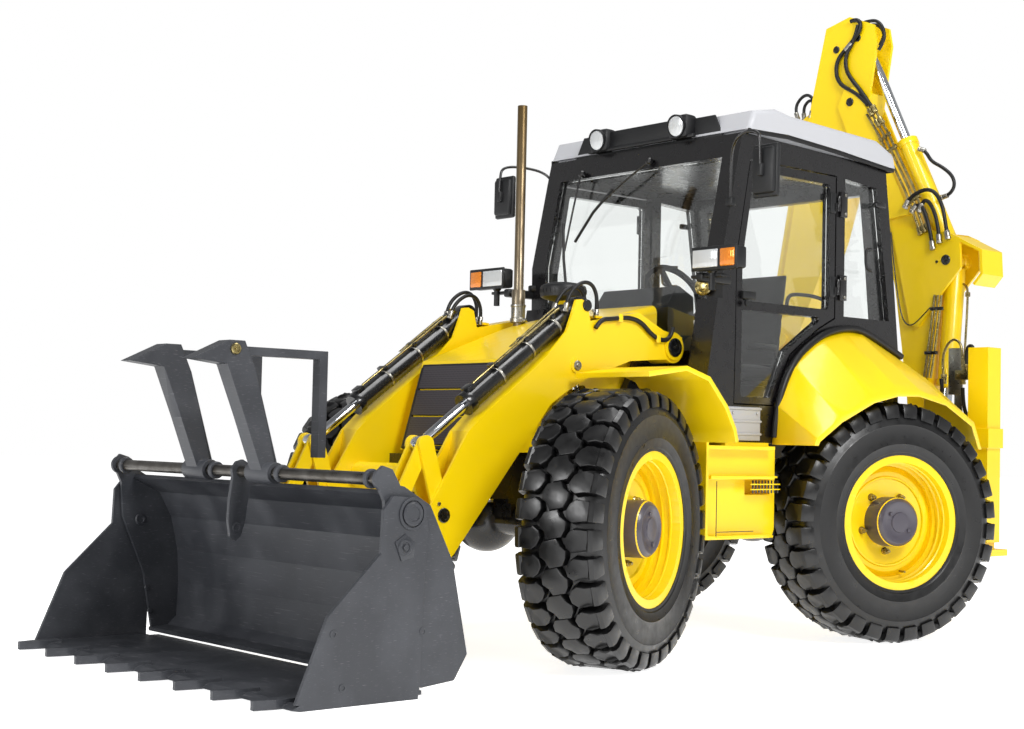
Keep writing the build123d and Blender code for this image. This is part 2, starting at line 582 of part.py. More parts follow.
# Doors with their panes, hinged at the rear edge
DOOR_PANEL = [(8, 1333), (13, 1700), (13, 2138), (116, 2682), (872, 2682), (872, 1856), (726, 1788), (473, 1626),
              (345, 1389), (331, 1333)]
UPPER_PANE = [(60, 1900), (60, 2130), (150, 2630), (820, 2630), (820, 1900)]
LOWER_PANE = [(60, 1370), (60, 1850), (770, 1850), (690, 1800), (440, 1640), (310, 1370)]
for door_name, hand in (("left", 1), ("right", -1)):
    low, high = sorted((hand * (CAB_HALF - 60), hand * (CAB_HALF - 2)))
    pane_low, pane_high = sorted((hand * (CAB_HALF - 34), hand * (CAB_HALF - 26)))
    with BuildPart() as door:
        slab(DOOR_PANEL, low, high)
        slab(UPPER_PANE, low - 1, high + 1, 20, mode=Mode.SUBTRACT)
        slab(LOWER_PANE, low - 1, high + 1, 15, mode=Mode.SUBTRACT)
        for z in HINGE_HEIGHTS:
            with BuildSketch(level(z)):
                with Locations((hand * HINGE_X, HINGE_Y)):
                    Circle(HINGE_R)
                with Locations((hand * (HINGE_X - 8), HINGE_Y - 24)):
                    Rectangle(16, 36)
            extrude(amount=HINGE_LENGTH / 2)
    door.part.label = f"{door_name}_door"
    export_step(door.part, f"parts/{door_name}_door.step")
    with BuildPart() as door_glass:
        for pane in (UPPER_PANE, LOWER_PANE):
            with BuildSketch(side(pane_low)) as pane_face:
                with BuildLine():
                    Polyline(*pane, close=True)
                make_face()
                fillet(pane_face.vertices(), 20 if pane is UPPER_PANE else 15)
                offset(amount=-0.5)
            extrude(amount=pane_high - pane_low)
    door_glass.part.label = f"{door_name}_door_glass"
    export_step(door_glass.part, f"parts/{door_name}_door_glass.step")


# Loader arms: boxed to the lever pivot, then forked, with a cross tube
ARM_SIDE = [(-160, 1690), (-310, 1720), (-400, 1760), (-500, 1805), (-860, 1735), (-885, 1830), (-925, 1845), (-965, 1840),
            (-990, 1770), (-1030, 1670), (-1150, 1550), (-1260, 1460), (-1560, 1240), (-1670, 1140), (-1880, 800),
            (-2140, 400), (-2110, 280), (-2020, 270), (-1740, 550), (-1130, 1290), (-1020, 1360), (-860, 1440),
            (-560, 1540), (-310, 1560), (-170, 1570)]
ARM_TUBE = (-1640, 900)
ARM_TUBE_R = 72
TILT_FOOT_HALF = 40
with BuildPart() as loader_arms:
    slab(ARM_SIDE, ARM_IN, ARM_OUT)
    disc_x(ARM_PIVOT, 85, ARM_IN, ARM_OUT)
    disc_x(BUCKET_PIN, 70, ARM_IN, ARM_OUT)
    slab([(-1640, 1300), (-2400, 1100), (-2400, 150), (-1900, 150), (-1712, 620), (-1690, 1000)],
         ARM_IN + ARM_CHEEK, ARM_OUT - ARM_CHEEK, mode=Mode.SUBTRACT)
    slab([(-1110, 1300), (-1110, 1525), (-980, 1590), (-800, 1610), (-330, 1690), (-330, 1300)],
         ARM_IN + ARM_CHEEK, ARM_OUT - ARM_CHEEK, mode=Mode.SUBTRACT)
    slab([(-760, 1950), (-1200, 1950), (-1200, 1600), (-960, 1705), (-820, 1740)],
         LINK_X - TILT_FOOT_HALF - SIDE_GAP, LINK_X + TILT_FOOT_HALF + SIDE_GAP, mode=Mode.SUBTRACT)
    slab([(-925, 1950), (-1200, 1950), (-1200, 1530), (-1040, 1612), (-925, 1690)],
         ARM_IN + ARM_CHEEK, ARM_OUT - ARM_CHEEK, mode=Mode.SUBTRACT)
    for x in (ARM_IN + ARM_CHEEK, LINK_X + LIFT_EYE_HALF + SIDE_GAP):
        disc_x(LIFT_EYE, 44, x, x + LINK_X - LIFT_EYE_HALF - SIDE_GAP - ARM_IN - ARM_CHEEK)
    bar((0, ARM_TUBE[0], ARM_TUBE[1]), (ARM_IN + 1, ARM_TUBE[0], ARM_TUBE[1]), ARM_TUBE_R)
    disc_x(LIFT_EYE, 40, ARM_OUT, ARM_OUT + 8)
    disc_x(ARM_PIVOT, 70, ARM_OUT, ARM_OUT + 12)
    mirror(about=Plane.YZ)
loader_arms.part.label = "loader_arms"
export_step(loader_arms.part, "parts/loader_arms.step")

# Tilt levers: two plates each side of the links
LEVER_X = (ARM_IN + ARM_CHEEK + SIDE_GAP, ARM_OUT - ARM_CHEEK - SIDE_GAP - LEVER_PLATE)
BUCKET_LINK_X = (LEVER_X[0] + LEVER_PLATE + SIDE_GAP, LEVER_X[1] - LEVER_PLATE - SIDE_GAP)
CORE_HALF = (BUCKET_LINK_X[1] - BUCKET_LINK_X[0] - LEVER_PLATE) / 2 - SIDE_GAP
with BuildPart() as tilt_levers:
    for x in LEVER_X:
        slab([(LEVER_PIVOT[0] - 50, LEVER_PIVOT[1] + 8), (LEVER_PIVOT[0] + 50, LEVER_PIVOT[1] + 8),
              (TILT_EYE[0] + 43, TILT_EYE[1] + 8), (TILT_EYE[0] - 43, TILT_EYE[1] - 8)], x, x + LEVER_PLATE)
        disc_x(LEVER_PIVOT, 52, x, x + LEVER_PLATE)
        disc_x(TILT_EYE, 45, x, x + LEVER_PLATE)
    disc_x(LEVER_PIVOT, 40, LEVER_X[0], LEVER_X[1] + LEVER_PLATE)
    mirror(about=Plane.YZ)
tilt_levers.part.label = "tilt_levers"
export_step(tilt_levers.part, "parts/tilt_levers.step")

# Links from the levers to the bucket's back
with BuildPart() as bucket_links:
    for x in BUCKET_LINK_X:
        slab([(TILT_EYE[0] - 36, TILT_EYE[1] + 18), (TILT_EYE[0] + 36, TILT_EYE[1] - 18),
              (LINK_PIN[0] + 34, LINK_PIN[1] - 16), (LINK_PIN[0] - 34, LINK_PIN[1] + 16)], x, x + LEVER_PLATE)
        disc_x(TILT_EYE, 42, x, x + LEVER_PLATE)
        disc_x(LINK_PIN, 38, x, x + LEVER_PLATE)
    disc_x(along(TILT_EYE, LINK_PIN, 330), 20, BUCKET_LINK_X[0], BUCKET_LINK_X[1] + LEVER_PLATE)
    mirror(about=Plane.YZ)
bucket_links.part.label = "bucket_links"
export_step(bucket_links.part, "parts/bucket_links.step")


def barrel_solids(place, foot, eye, gland, tube_r, bore_r, foot_half, eye_disc, foot_r):
    """A cylinder barrel: foot eye, tube and gland, bored for its rod."""
    start = place(along(foot, eye, foot_r + 30))
    end = place(along(foot, eye, gland))
    bar(start, end, tube_r)
    bar(place(along(foot, eye, foot_r * 0.5)), place(along(foot, eye, foot_r + 31)), foot_half * 0.9)
    eye_disc(foot, foot_r, foot_half)
    bar(place(along(foot, eye, gland - 45)), end, tube_r + 7)
    bar(place(along(foot, eye, foot_r + 42)), place(along(foot, eye, gland + 5)), bore_r, mode=Mode.SUBTRACT)


def rod_solids(place, foot, eye, inner, rod_r, eye_half, eye_disc, eye_r):
    """A cylinder rod with its end eye."""
    length = math.dist(foot, eye)
    bar(place(along(foot, eye, inner)), place(along(foot, eye, length - eye_r - 16)), rod_r)
    bar(place(along(foot, eye, length - eye_r - 17)), place(along(foot, eye, length - eye_r * 0.5)),
        min(rod_r, eye_half * 0.9))
    eye_disc(eye, eye_r, eye_half)


def loader_place(x):
    return lambda point: (x, point[0], point[1])


def loader_eye(x):
    return lambda centre, radius, half: disc_x(centre, radius, x - half, x + half)


def cross_place(point):
    return (point[0], POST_Y, point[1])


LOADER_CYLINDERS = {
    # name: x, foot, eye, gland, inner end of rod, tube r, rod r, foot half, eye half, foot r, eye r
    "tilt_cylinder": (LINK_X, TILT_FOOT, TILT_EYE, 930, 520, 52, 26, TILT_FOOT_HALF, CORE_HALF, 50, 40),
    "lift_cylinder": (LINK_X, LIFT_FOOT, LIFT_EYE, 870, 95, 43, 25, LIFT_EYE_HALF, LIFT_EYE_HALF, 45, 40),
}
for name, (x, foot, eye, gland, inner, tube_r, rod_r, foot_half, eye_half, foot_r, eye_r) in LOADER_CYLINDERS.items():
    with BuildPart() as barrels:
        barrel_solids(loader_place(x), foot, eye, gland, tube_r, rod_r + 0.5, foot_half, loader_eye(x), foot_r)
        mirror(about=Plane.YZ)
    barrels.part.label = f"{name}_barrels"
    export_step(barrels.part, f"parts/{name}_barrels.step")
    with BuildPart() as rods:
        rod_solids(loader_place(x), foot, eye, inner, rod_r, eye_half, loader_eye(x), eye_r)
        mirror(about=Plane.YZ)
    rods.part.label = f"{name}_rods"
    export_step(rods.part, f"parts/{name}_rods.step")

# Loader bucket: curved back, inner side plates, hinge lugs, fork tube brackets
BUCKET_HALF = BUCKET_WIDTH / 2
BACK_LINE = [(-2440, 45), (-2330, 55), (-2270, 110), (-2262, 300), (-2275, 480), (-2320, 660), (-2400, 800), (-2560, 880)]
with BuildPart() as bucket_back:
    slab(band(BACK_LINE, PLATE), -BUCKET_HALF + 28, BUCKET_HALF - 28)
    for hand in (1, -1):
        low, high = sorted((hand * (BUCKET_HALF - 48), hand * (BUCKET_HALF - 28)))
        slab([(-2640, 870), (-2540, 900), (-2392, 817), (-2262, 573), (-2200, 300), (-2170, 167), (-2240, 58),
              (-2430, 40), (-2490, 358), (-2620, 654)], low, high, 12)
        slab([(-2690, 940), (-2650, 985), (-2600, 970), (-2530, 860), (-2640, 840)], low, high)
        disc_x(CLAM_PIN, 45, *sorted((hand * (BUCKET_HALF - 28), hand * (BUCKET_HALF - PLATE - SEAT_GAP))))
        disc_x(FORK_TUBE, 46, *sorted((hand * (BUCKET_HALF - 48), hand * (BUCKET_HALF - 28))))
        x = hand * LINK_X
        slab([(-2325, 660), (LINK_PIN[0] + 10, LINK_PIN[1] + 38), (LINK_PIN[0] + 36, LINK_PIN[1] + 12),
              (LINK_PIN[0] + 30, LINK_PIN[1] - 26), (-2275, 440)], x - CORE_HALF, x + CORE_HALF)
        half = ARM_OUT - ARM_CHEEK - SIDE_GAP - LINK_X
        slab([(-2275, 450), (BUCKET_PIN[0] + 10, BUCKET_PIN[1] + 52), (BUCKET_PIN[0] + 48, BUCKET_PIN[1] + 25),
              (BUCKET_PIN[0] + 50, BUCKET_PIN[1] - 20), (BUCKET_PIN[0], BUCKET_PIN[1] - 55), (-2272, 180)],
             x - half, x + half)
bucket_back.part.label = "bucket_back"
export_step(bucket_back.part, "parts/bucket_back.step")

# Clam: side plates hinged at the top, floor, cutting edge and teeth
TOOTH_COUNT = 8
TOOTH_EDGE = 113
with BuildPart() as bucket_clam:
    for hand in (1, -1):
        low, high = sorted((hand * (BUCKET_HALF - PLATE), hand * BUCKET_HALF))
        slab([(-2610, 860), (-2480, 850), (-2420, 740), (-2440, 450), (-2450, 20), (-2630, 0), (-3074, 27), (-2926, 373),
              (-2667, 620), (-2660, 800)], low, high)
    slab([(-2455, 0), (-3050, 0), (-3090, 8), (-3050, 28), (-2455, 28)], -BUCKET_HALF, BUCKET_HALF)
    for i in range(TOOTH_COUNT):
        x = -BUCKET_HALF + TOOTH_EDGE + i * (BUCKET_WIDTH - 2 * TOOTH_EDGE) / (TOOTH_COUNT - 1)
        with BuildSketch(level(4)):
            with BuildLine():
                Polyline((x - 32, -2990), (x + 32, -2990), (x + 30, -3110), (x + 12, -3206), (x - 12, -3206),
                         (x - 30, -3110), close=True)
            make_face()
        extrude(amount=40)
bucket_clam.part.label = "bucket_clam"
export_step(bucket_clam.part, "parts/bucket_clam.step")

# Fork tube across the bucket's top
with BuildPart() as fork_tube:
    disc_x(FORK_TUBE, 28, -BUCKET_HALF + 48 + SEAT_GAP, BUCKET_HALF - 48 - SEAT_GAP)
fork_tube.part.label = "fork_tube"
export_step(fork_tube.part, "parts/fork_tube.step")

# Flip-over pallet forks, folded back
FORK_X = (250, -330)
with BuildPart() as pallet_forks:
    for x in FORK_X:
        disc_x(FORK_TUBE, 50, x - 100, x + 100)
        slab([(-2693, 935), (-2790, 1180), (-2840, 1300), (-2890, 1420), (-3070, 1440), (-2880, 1530), (-2800, 1530),
              (-2740, 1400), (-2602, 940)], x - 50, x + 50)
        slab([(-2860, 1505), (-2330, 1505), (-2330, 1000), (-2375, 1000), (-2375, 1465), (-2860, 1465)],
             x - 30, x + 30)
        disc_x(FORK_TUBE, 28.5, x - 101, x + 101, mode=Mode.SUBTRACT)
pallet_forks.part.label = "pallet_forks"
export_step(pallet_forks.part, "parts/pallet_forks.step")

# Side-shift carriage on the backhoe frame's rails, with the swing lugs
LUG_R = 98
POST_R = 92
LUG_PLATE = 40
LUG_LOW = 555
LUG_HIGH = 1205
CARRIAGE_FACE = REAR_FACE + 60
with BuildPart() as sideshift_carriage:
    block((POST_X - 260, POST_X + 260), (REAR_FACE + SIDE_GAP, CARRIAGE_FACE), (520, 1290))
    for low in (LUG_LOW, LUG_HIGH):
        with BuildSketch(level(low)):
            with Locations((POST_X, (CARRIAGE_FACE + POST_Y) / 2 - 5)):
                Rectangle(2 * LUG_R - 10, POST_Y - CARRIAGE_FACE + 10)
            with Locations((POST_X, POST_Y)):
                Circle(LUG_R)
        extrude(amount=LUG_PLATE)
sideshift_carriage.part.label = "sideshift_carriage"
export_step(sideshift_carriage.part, "parts/sideshift_carriage.step")

# Swing post: barrel between the lugs, cheeks around the boom's foot and the ram's eye
FOOT_HALF = 78
CHEEK_IN = FOOT_HALF + SIDE_GAP
CHEEK_OUT = 112
RAM_EYE_HALF = 40
CHEEK_MID = (CHEEK_IN + CHEEK_OUT) / 2
CHEEK_SIDE = [(600, 640), (600, 1180), (482, 1185), (482, 1258), (494, 1290), (494, 1370), (465, 1400), (410, 1400),
              (385, 1370), (375, 1150), (270, 1060), (230, 950), (270, 850), (380, 790)]
with BuildPart() as swing_post:
    with BuildSketch(level(LUG_LOW + LUG_PLATE + SEAT_GAP)):
        with Locations((POST_X, POST_Y)):
            Circle(POST_R)
    extrude(amount=LUG_HIGH - LUG_LOW - LUG_PLATE - 2 * SEAT_GAP)
    for offset_y in (CHEEK_MID, -CHEEK_MID):
        with BuildSketch(across(POST_Y + offset_y)):
            with BuildLine():
                Polyline(*CHEEK_SIDE, close=True)
            make_face()
        extrude(amount=(CHEEK_OUT - CHEEK_IN) / 2, both=True)
        inner = (RAM_EYE_HALF + SIDE_GAP + CHEEK_IN) / 2 * math.copysign(1, offset_y)
        disc_y(RAM_EYE, 46, (CHEEK_IN - RAM_EYE_HALF - SIDE_GAP) / 2, inner)
    wall([(600, 700), (600, 1100), (500, 1100), (500, 700)], CHEEK_IN + 5)
swing_post.part.label = "swing_post"
export_step(swing_post.part, "parts/swing_post.step")

# Boom: foot, box, knee plates and tip ears
BOOM_CORE = DIPPER_HALF + 3
KNEE_EYE_HALF = 72
BOOM_PLATE_MID = (BOOM_CORE + BOOM_HALF) / 2
KNEE_SIDE = [(75, 2610), (530, 2530), (615, 2490), (625, 2290), (460, 2110), (300, 1915), (235, 1930)]
TIP_SIDE = [(-20, 2650), (-230, 3120), (-385, 3490), (-330, 3610), (-230, 3610), (-160, 3480), (-20, 3180),
            (225, 2680)]
with BuildPart() as boom:
    wall([(235, 950), (165, 1750), (165, 2000), (412, 2070), (366, 1500), (376, 1200), (410, 950)], FOOT_HALF)
    disc_y(BOOM_FOOT, 90, FOOT_HALF)
    wall([(195, 1500), (165, 1750), (100, 2200), (-20, 2650), (-150, 2990), (-40, 3170), (30, 3060), (225, 2680),
          (395, 2310), (412, 2070), (366, 1500)], BOOM_CORE)
    for offset_y in (BOOM_PLATE_MID, -BOOM_PLATE_MID):
        for points in (KNEE_SIDE, TIP_SIDE):
            with BuildSketch(across(POST_Y + offset_y)):
                with BuildLine():
                    Polyline(*points, close=True)
                make_face()
            extrude(amount=(BOOM_HALF - BOOM_CORE) / 2, both=True)
        inner = (KNEE_EYE_HALF + SIDE_GAP + BOOM_CORE) / 2 * math.copysign(1, offset_y)
        disc_y(KNEE_PIN, 52, (BOOM_CORE - KNEE_EYE_HALF - SIDE_GAP) / 2 + 0.1, inner)
    wall(band([(562, 2513.6), (783, 2400), (792, 2240), (730, 2170)], -20), BOOM_HALF)
boom.part.label = "boom"
export_step(boom.part, "parts/boom.step")

# Dipper: head plates around the rod eye, box, tip
DIPPER_SIDE = [(-513, 4070), (-310, 4120), (-100, 4030), (-75, 3900), (-150, 3430), (-300, 3000), (-440, 2550),
               (-770, 1800), (-860, 1590), (-930, 1550), (-990, 1590), (-950, 1900), (-825, 2600), (-655, 3470)]
CROWD_FOOT_HALF = 55
DIPPER_EYE_HALF = 40
with BuildPart() as dipper:
    wall(DIPPER_SIDE, DIPPER_HALF)
    wall([(-385, 4200), (60, 4200), (60, 3540), (-165, 3560), (-300, 3780), (-335, 3850), (-385, 4030)], 74,
         mode=Mode.SUBTRACT)
    wall([(-1050, 1450), (-700, 1450), (-700, 1720), (-1050, 1790)], 60, mode=Mode.SUBTRACT)
    for sign in (1, -1):
        with BuildSketch(across(POST_Y + sign * (CROWD_FOOT_HALF + SIDE_GAP + 10))):
            with BuildLine():
                Polyline((-640, 3500), (-780, 3420), (-805, 3360), (-790, 3310), (-690, 3230), close=True)
            make_face()
        extrude(amount=10, both=True)
        disc_y(DIPPER_EYE, 46, (74 - DIPPER_EYE_HALF - SIDE_GAP) / 2 + 0.1,
               sign * (74 + DIPPER_EYE_HALF + SIDE_GAP) / 2)
        disc_y(BOOM_TIP, 60, (BOOM_CORE - DIPPER_HALF - SIDE_GAP) / 2 + 0.1,
               sign * (BOOM_CORE + DIPPER_HALF - SIDE_GAP) / 2)
        disc_y(IDLER_PIVOT, 42, 2, sign * (DIPPER_HALF + 1.5))
dipper.part.label = "dipper"
export_step(dipper.part, "parts/dipper.step")

BACKHOE_CYLINDERS = {
    # name: foot, eye, gland, inner end of rod, tube r, rod r, foot half, eye half, foot r, eye r
    "boom_cylinder": (KNEE_PIN, RAM_EYE, 830, 140, 66, 36, KNEE_EYE_HALF, RAM_EYE_HALF, 52, 46),
    "dipper_cylinder": (KNEE_PIN, DIPPER_EYE, 940, 845, 65, 33, 28, DIPPER_EYE_HALF, 52, 46),
    "bucket_cylinder": (CROWD_FOOT, IDLER_EYE, 1120, 600, 50, 28, CROWD_FOOT_HALF, 34, 48, 40),
}
for name, (foot, eye, gland, inner, tube_r, rod_r, foot_half, eye_half, foot_r, eye_r) in BACKHOE_CYLINDERS.items():
    with BuildPart() as barrel:
        barrel_solids(cross_place, foot, eye, gland, tube_r, rod_r + 0.5, foot_half, disc_y, foot_r)
        if name == "boom_cylinder":
            disc_y(foot, 80, 28 + SIDE_GAP, mode=Mode.SUBTRACT)
    barrel.part.label = f"{name}_barrel"
    export_step(barrel.part, f"parts/{name}_barrel.step")
    with BuildPart() as rod:
        rod_solids(cross_place, foot, eye, inner, rod_r, eye_half, disc_y, eye_r)
    rod.part.label = f"{name}_rod"
    export_step(rod.part, f"parts/{name}_rod.step")

# Idlers outside the dipper, and the link inside them, which turn the digging bucket
IDLER_MID = DIPPER_HALF + 4 + 10
LINK_MID = 45
with BuildPart() as idler_links:
    for offset_y in (IDLER_MID, -IDLER_MID):
        with BuildSketch(across(POST_Y + offset_y)):
            with BuildLine():
                Polyline((IDLER_PIVOT[0] - 26, IDLER_PIVOT[1] + 32), (IDLER_PIVOT[0] + 26, IDLER_PIVOT[1] - 32),
                         (IDLER_EYE[0] + 26, IDLER_EYE[1] - 32), (IDLER_EYE[0] - 26, IDLER_EYE[1] + 32), close=True)
            make_face()
            with Locations(IDLER_PIVOT, IDLER_EYE):
                Circle(44)
        extrude(amount=10, both=True)
        stub_in = LINK_MID + 10 + SIDE_GAP
        disc_y(IDLER_EYE, 24, (IDLER_MID - stub_in) / 2, (IDLER_MID + stub_in) / 2 * math.copysign(1, offset_y))
idler_links.part.label = "idler_links"
export_step(idler_links.part, "parts/idler_links.step")

with BuildPart() as dig_link:
    for offset_y in (LINK_MID, -LINK_MID):
        with BuildSketch(across(POST_Y + offset_y)):
            with BuildLine():
                Polyline((IDLER_EYE[0] - 38, IDLER_EYE[1]), (IDLER_EYE[0] + 38, IDLER_EYE[1]),
                         (BUCKET_LUG[0] + 38, BUCKET_LUG[1]), (BUCKET_LUG[0] - 38, BUCKET_LUG[1]), close=True)
            make_face()
            with Locations(IDLER_EYE, BUCKET_LUG):
                Circle(40)
        extrude(amount=10, both=True)
    disc_y(along(IDLER_EYE, BUCKET_LUG, 130), 20, LINK_MID)
dig_link.part.label = "dig_link"
export_step(dig_link.part, "parts/dig_link.step")

# Digging bucket: curved shell, sides, hinge ears and teeth
DIG_HALF = DIG_BUCKET_WIDTH / 2
DIG_SIDE = [(-870, 1500), (-985, 1440), (-1080, 1370), (-1150, 1240), (-1130, 1060), (-1020, 930), (-850, 870),
            (-430, 930)]
with BuildPart() as dig_bucket:
    wall(band(DIG_SIDE, 18), DIG_HALF)
    for offset_y in (DIG_HALF - 9, -DIG_HALF + 9):
        with BuildSketch(across(POST_Y + offset_y)):
            with BuildLine():
                Polyline(*DIG_SIDE, (-440, 1010), (-820, 1500), close=True)
            make_face()
        extrude(amount=9, both=True)
    for sign in (1, -1):
        with BuildSketch(across(POST_Y + sign * 24)):
            with BuildLine():
                Polyline((DIG_PIN[0] + 46, DIG_PIN[1]), (DIG_PIN[0] - 10, DIG_PIN[1] + 46),
                         (BUCKET_LUG[0] - 20, BUCKET_LUG[1] + 38), (BUCKET_LUG[0] - 38, BUCKET_LUG[1] - 10),
                         (-1075, 1385), (-885, 1490), close=True)
            make_face()
        extrude(amount=10.5, both=True)
        disc_y(DIG_PIN, 42, (60 - SIDE_GAP - 34) / 2, sign * (60 - SIDE_GAP + 34) / 2)
    for i in range(5):
        y = POST_Y - DIG_HALF + 40 + i * (DIG_BUCKET_WIDTH - 80) / 4
        with BuildSketch(across(y)):
            with BuildLine():
                Polyline((-520, 900), (-520, 950), (-400, 965), (-270, 985), (-400, 925), close=True)
            make_face()
        extrude(amount=25, both=True)
dig_bucket.part.label = "dig_bucket"
export_step(dig_bucket.part, "parts/dig_bucket.step")
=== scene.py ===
"""Looks of the backhoe loader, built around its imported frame.

Metres. +Z up, the machine drives towards -Y, its left side is +X, the wheels stand on z = 0.
"""
import json
import math

import bmesh
import bpy
from mathutils import Matrix, Vector


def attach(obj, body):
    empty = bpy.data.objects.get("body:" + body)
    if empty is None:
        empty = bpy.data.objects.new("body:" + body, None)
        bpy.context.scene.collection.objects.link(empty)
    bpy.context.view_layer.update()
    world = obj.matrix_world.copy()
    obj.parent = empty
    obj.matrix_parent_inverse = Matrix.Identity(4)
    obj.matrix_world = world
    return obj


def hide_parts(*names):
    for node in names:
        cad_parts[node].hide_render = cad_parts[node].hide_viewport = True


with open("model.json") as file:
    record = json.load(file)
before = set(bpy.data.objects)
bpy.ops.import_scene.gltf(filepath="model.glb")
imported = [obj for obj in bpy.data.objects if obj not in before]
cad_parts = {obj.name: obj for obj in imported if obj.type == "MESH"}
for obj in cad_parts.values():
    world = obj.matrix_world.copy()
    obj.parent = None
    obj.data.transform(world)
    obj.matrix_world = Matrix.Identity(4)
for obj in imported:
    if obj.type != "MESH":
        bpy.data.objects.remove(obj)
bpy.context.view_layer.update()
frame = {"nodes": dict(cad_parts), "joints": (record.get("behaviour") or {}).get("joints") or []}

NODES = frame["nodes"]
JOINTS = {joint["name"]: joint for joint in frame["joints"]}
CORNERS = ("front_left", "front_right", "rear_left", "rear_right")
UP = Vector((0, 0, 1))

# Along the machine, distances are measured from midway between the axles, this far behind the frame's origin
MID = 0.203


def at(x, y, z):
    """A point whose y is measured from midway between the axles."""
    return Vector((x, y + MID, z))


def route(points, hand=1):
    """A route through (x, y, z) points, mirrored to the right side by a hand of -1."""
    return [at(hand * x, y, z) for x, y, z in points]


def along_face(points, y):
    """A route over a face across the machine, from (x, z) pairs."""
    return [at(x, y, z) for x, z in points]


def along_side(points, x):
    """A route over a side of the machine, from (y, z) pairs."""
    return [at(x, y, z) for y, z in points]


def polar(radius, angle, height=0.0):
    """A point about the Z axis."""
    return Vector((radius * math.cos(angle), radius * math.sin(angle), height))


def turned_to(axis):
    """The turn that takes the Z axis to another."""
    return UP.rotation_difference(Vector(axis).normalized()).to_matrix().to_4x4()


# Materials


def linear(code):
    """An sRGB hex colour as linear numbers with full alpha."""
    shares = [int(code[i:i + 2], 16) / 255 for i in (1, 3, 5)]
    return [s / 12.92 if s <= 0.04045 else ((s + 0.055) / 1.055) ** 2.4 for s in shares] + [1.0]


def add_node(tree, kind, inputs=None, **settings):
    """Adds a node with its settings, and fills or links its inputs."""
    made = tree.nodes.new(kind)
    for name, value in settings.items():
        setattr(made, name, value)
    for name, value in (inputs or {}).items():
        if isinstance(value, bpy.types.NodeSocket):
            tree.links.new(value, made.inputs[name])
        else:
            made.inputs[name].default_value = value
    return made


def start_material(name, colour, **values):
    """A material with its shader's plain values set, and the place that its patterns read."""
    material = bpy.data.materials.new(name)
    material.use_nodes = True
    tree = material.node_tree
    shader = tree.nodes["Principled BSDF"]
    shader.inputs["Base Color"].default_value = linear(colour)
    for socket, value in values.items():
        shader.inputs[socket.replace("_", " ")].default_value = value
    place = add_node(tree, "ShaderNodeTexCoord").outputs["Object"]
    return material, tree, shader, place


def noise(tree, place, millimetres, detail=4.0, stretch=None):
    """Noise whose blotches are about this wide."""
    if stretch:
        place = add_node(tree, "ShaderNodeMapping", {"Vector": place, "Scale": stretch}).outputs["Vector"]
    return add_node(tree, "ShaderNodeTexNoise",
                    {"Vector": place, "Scale": 1000.0 / millimetres, "Detail": detail}).outputs["Fac"]


def ramp(tree, value, low, high, low_out=0.0, high_out=1.0):
    """A value read from low to high and given out from low_out to high_out."""
    return add_node(tree, "ShaderNodeMapRange",
                    {"Value": value, "From Min": low, "From Max": high, "To Min": low_out,
                     "To Max": high_out}).outputs["Result"]


def mixed(tree, share, first, second):
    """A colour between two others."""
    made = add_node(tree, "ShaderNodeMix", data_type="RGBA")
    for socket, value in ((made.inputs[0], share), (made.inputs[6], first), (made.inputs[7], second)):
        if isinstance(value, bpy.types.NodeSocket):
            tree.links.new(value, socket)
        else:
            socket.default_value = linear(value) if isinstance(value, str) else value
    return made.outputs[2]


def bump(tree, shader, height, strength, millimetres):
    """Roughens the surface by a height."""
    made = add_node(tree, "ShaderNodeBump",
                    {"Height": height, "Strength": strength, "Distance": millimetres / 1000.0})
    tree.links.new(made.outputs["Normal"], shader.inputs["Normal"])


def feed(tree, value, shader, socket):
    """Links a value into the shader."""
    tree.links.new(value, shader.inputs[socket])


def wander(tree, place, shader, millimetres, low, high):
    """Roughness that wanders between two values, in blotches about this wide."""
    feed(tree, ramp(tree, noise(tree, place, millimetres), 0.3, 0.7, low, high), shader, "Roughness")


def stripes(tree, place, scale, direction):
    """Smooth stripes across a direction, 314 mm apart at a scale of 1."""
    return add_node(tree, "ShaderNodeTexWave", {"Vector": place, "Scale": scale},
                    bands_direction=direction).outputs["Fac"]


def crossed(tree, place, scale):
    """Stripes across X times stripes across Z."""
    return add_node(tree, "ShaderNodeMath",
                    {0: stripes(tree, place, scale, "X"), 1: stripes(tree, place, scale, "Z")},
                    operation="MULTIPLY").outputs[0]


def paint(name, colour, dirt, roughness, coat, peel=0.12):
    """Sprayed machine enamel: a smooth coat with slight orange peel and a little settled dust."""
    material, tree, shader, place = start_material(name, colour, IOR=1.5, Coat_Weight=coat,
                                                   Coat_Roughness=0.12)
    dust = ramp(tree, noise(tree, place, 420, 6), 0.52, 0.78, 0, 0.35)
    feed(tree, mixed(tree, dust, colour, dirt), shader, "Base Color")
    wander(tree, place, shader, 60, roughness - 0.05, roughness + 0.07)
    bump(tree, shader, noise(tree, place, 9, 1), peel, 0.6)
    return material


def worn_tool_paint():
    """Dark grey primer on digging tools: rubbed dull, with faint level scratches."""
    material, tree, shader, place = start_material("worn_tool_paint", "#36383c", IOR=1.5)
    scratch = ramp(tree, noise(tree, place, 30, 6, (0.25, 1, 9)), 0.62, 0.7)
    blotch = ramp(tree, noise(tree, place, 260, 6), 0.42, 0.68, 0, 0.75)
    base = mixed(tree, blotch, "#303237", "#44464b")
    feed(tree, mixed(tree, ramp(tree, scratch, 0, 1, 0, 0.35), base, "#77757a"), shader, "Base Color")
    feed(tree, ramp(tree, blotch, 0, 1, 0.42, 0.62), shader, "Roughness")
    bump(tree, shader, noise(tree, place, 14, 5), 0.25, 1.2)
    return material


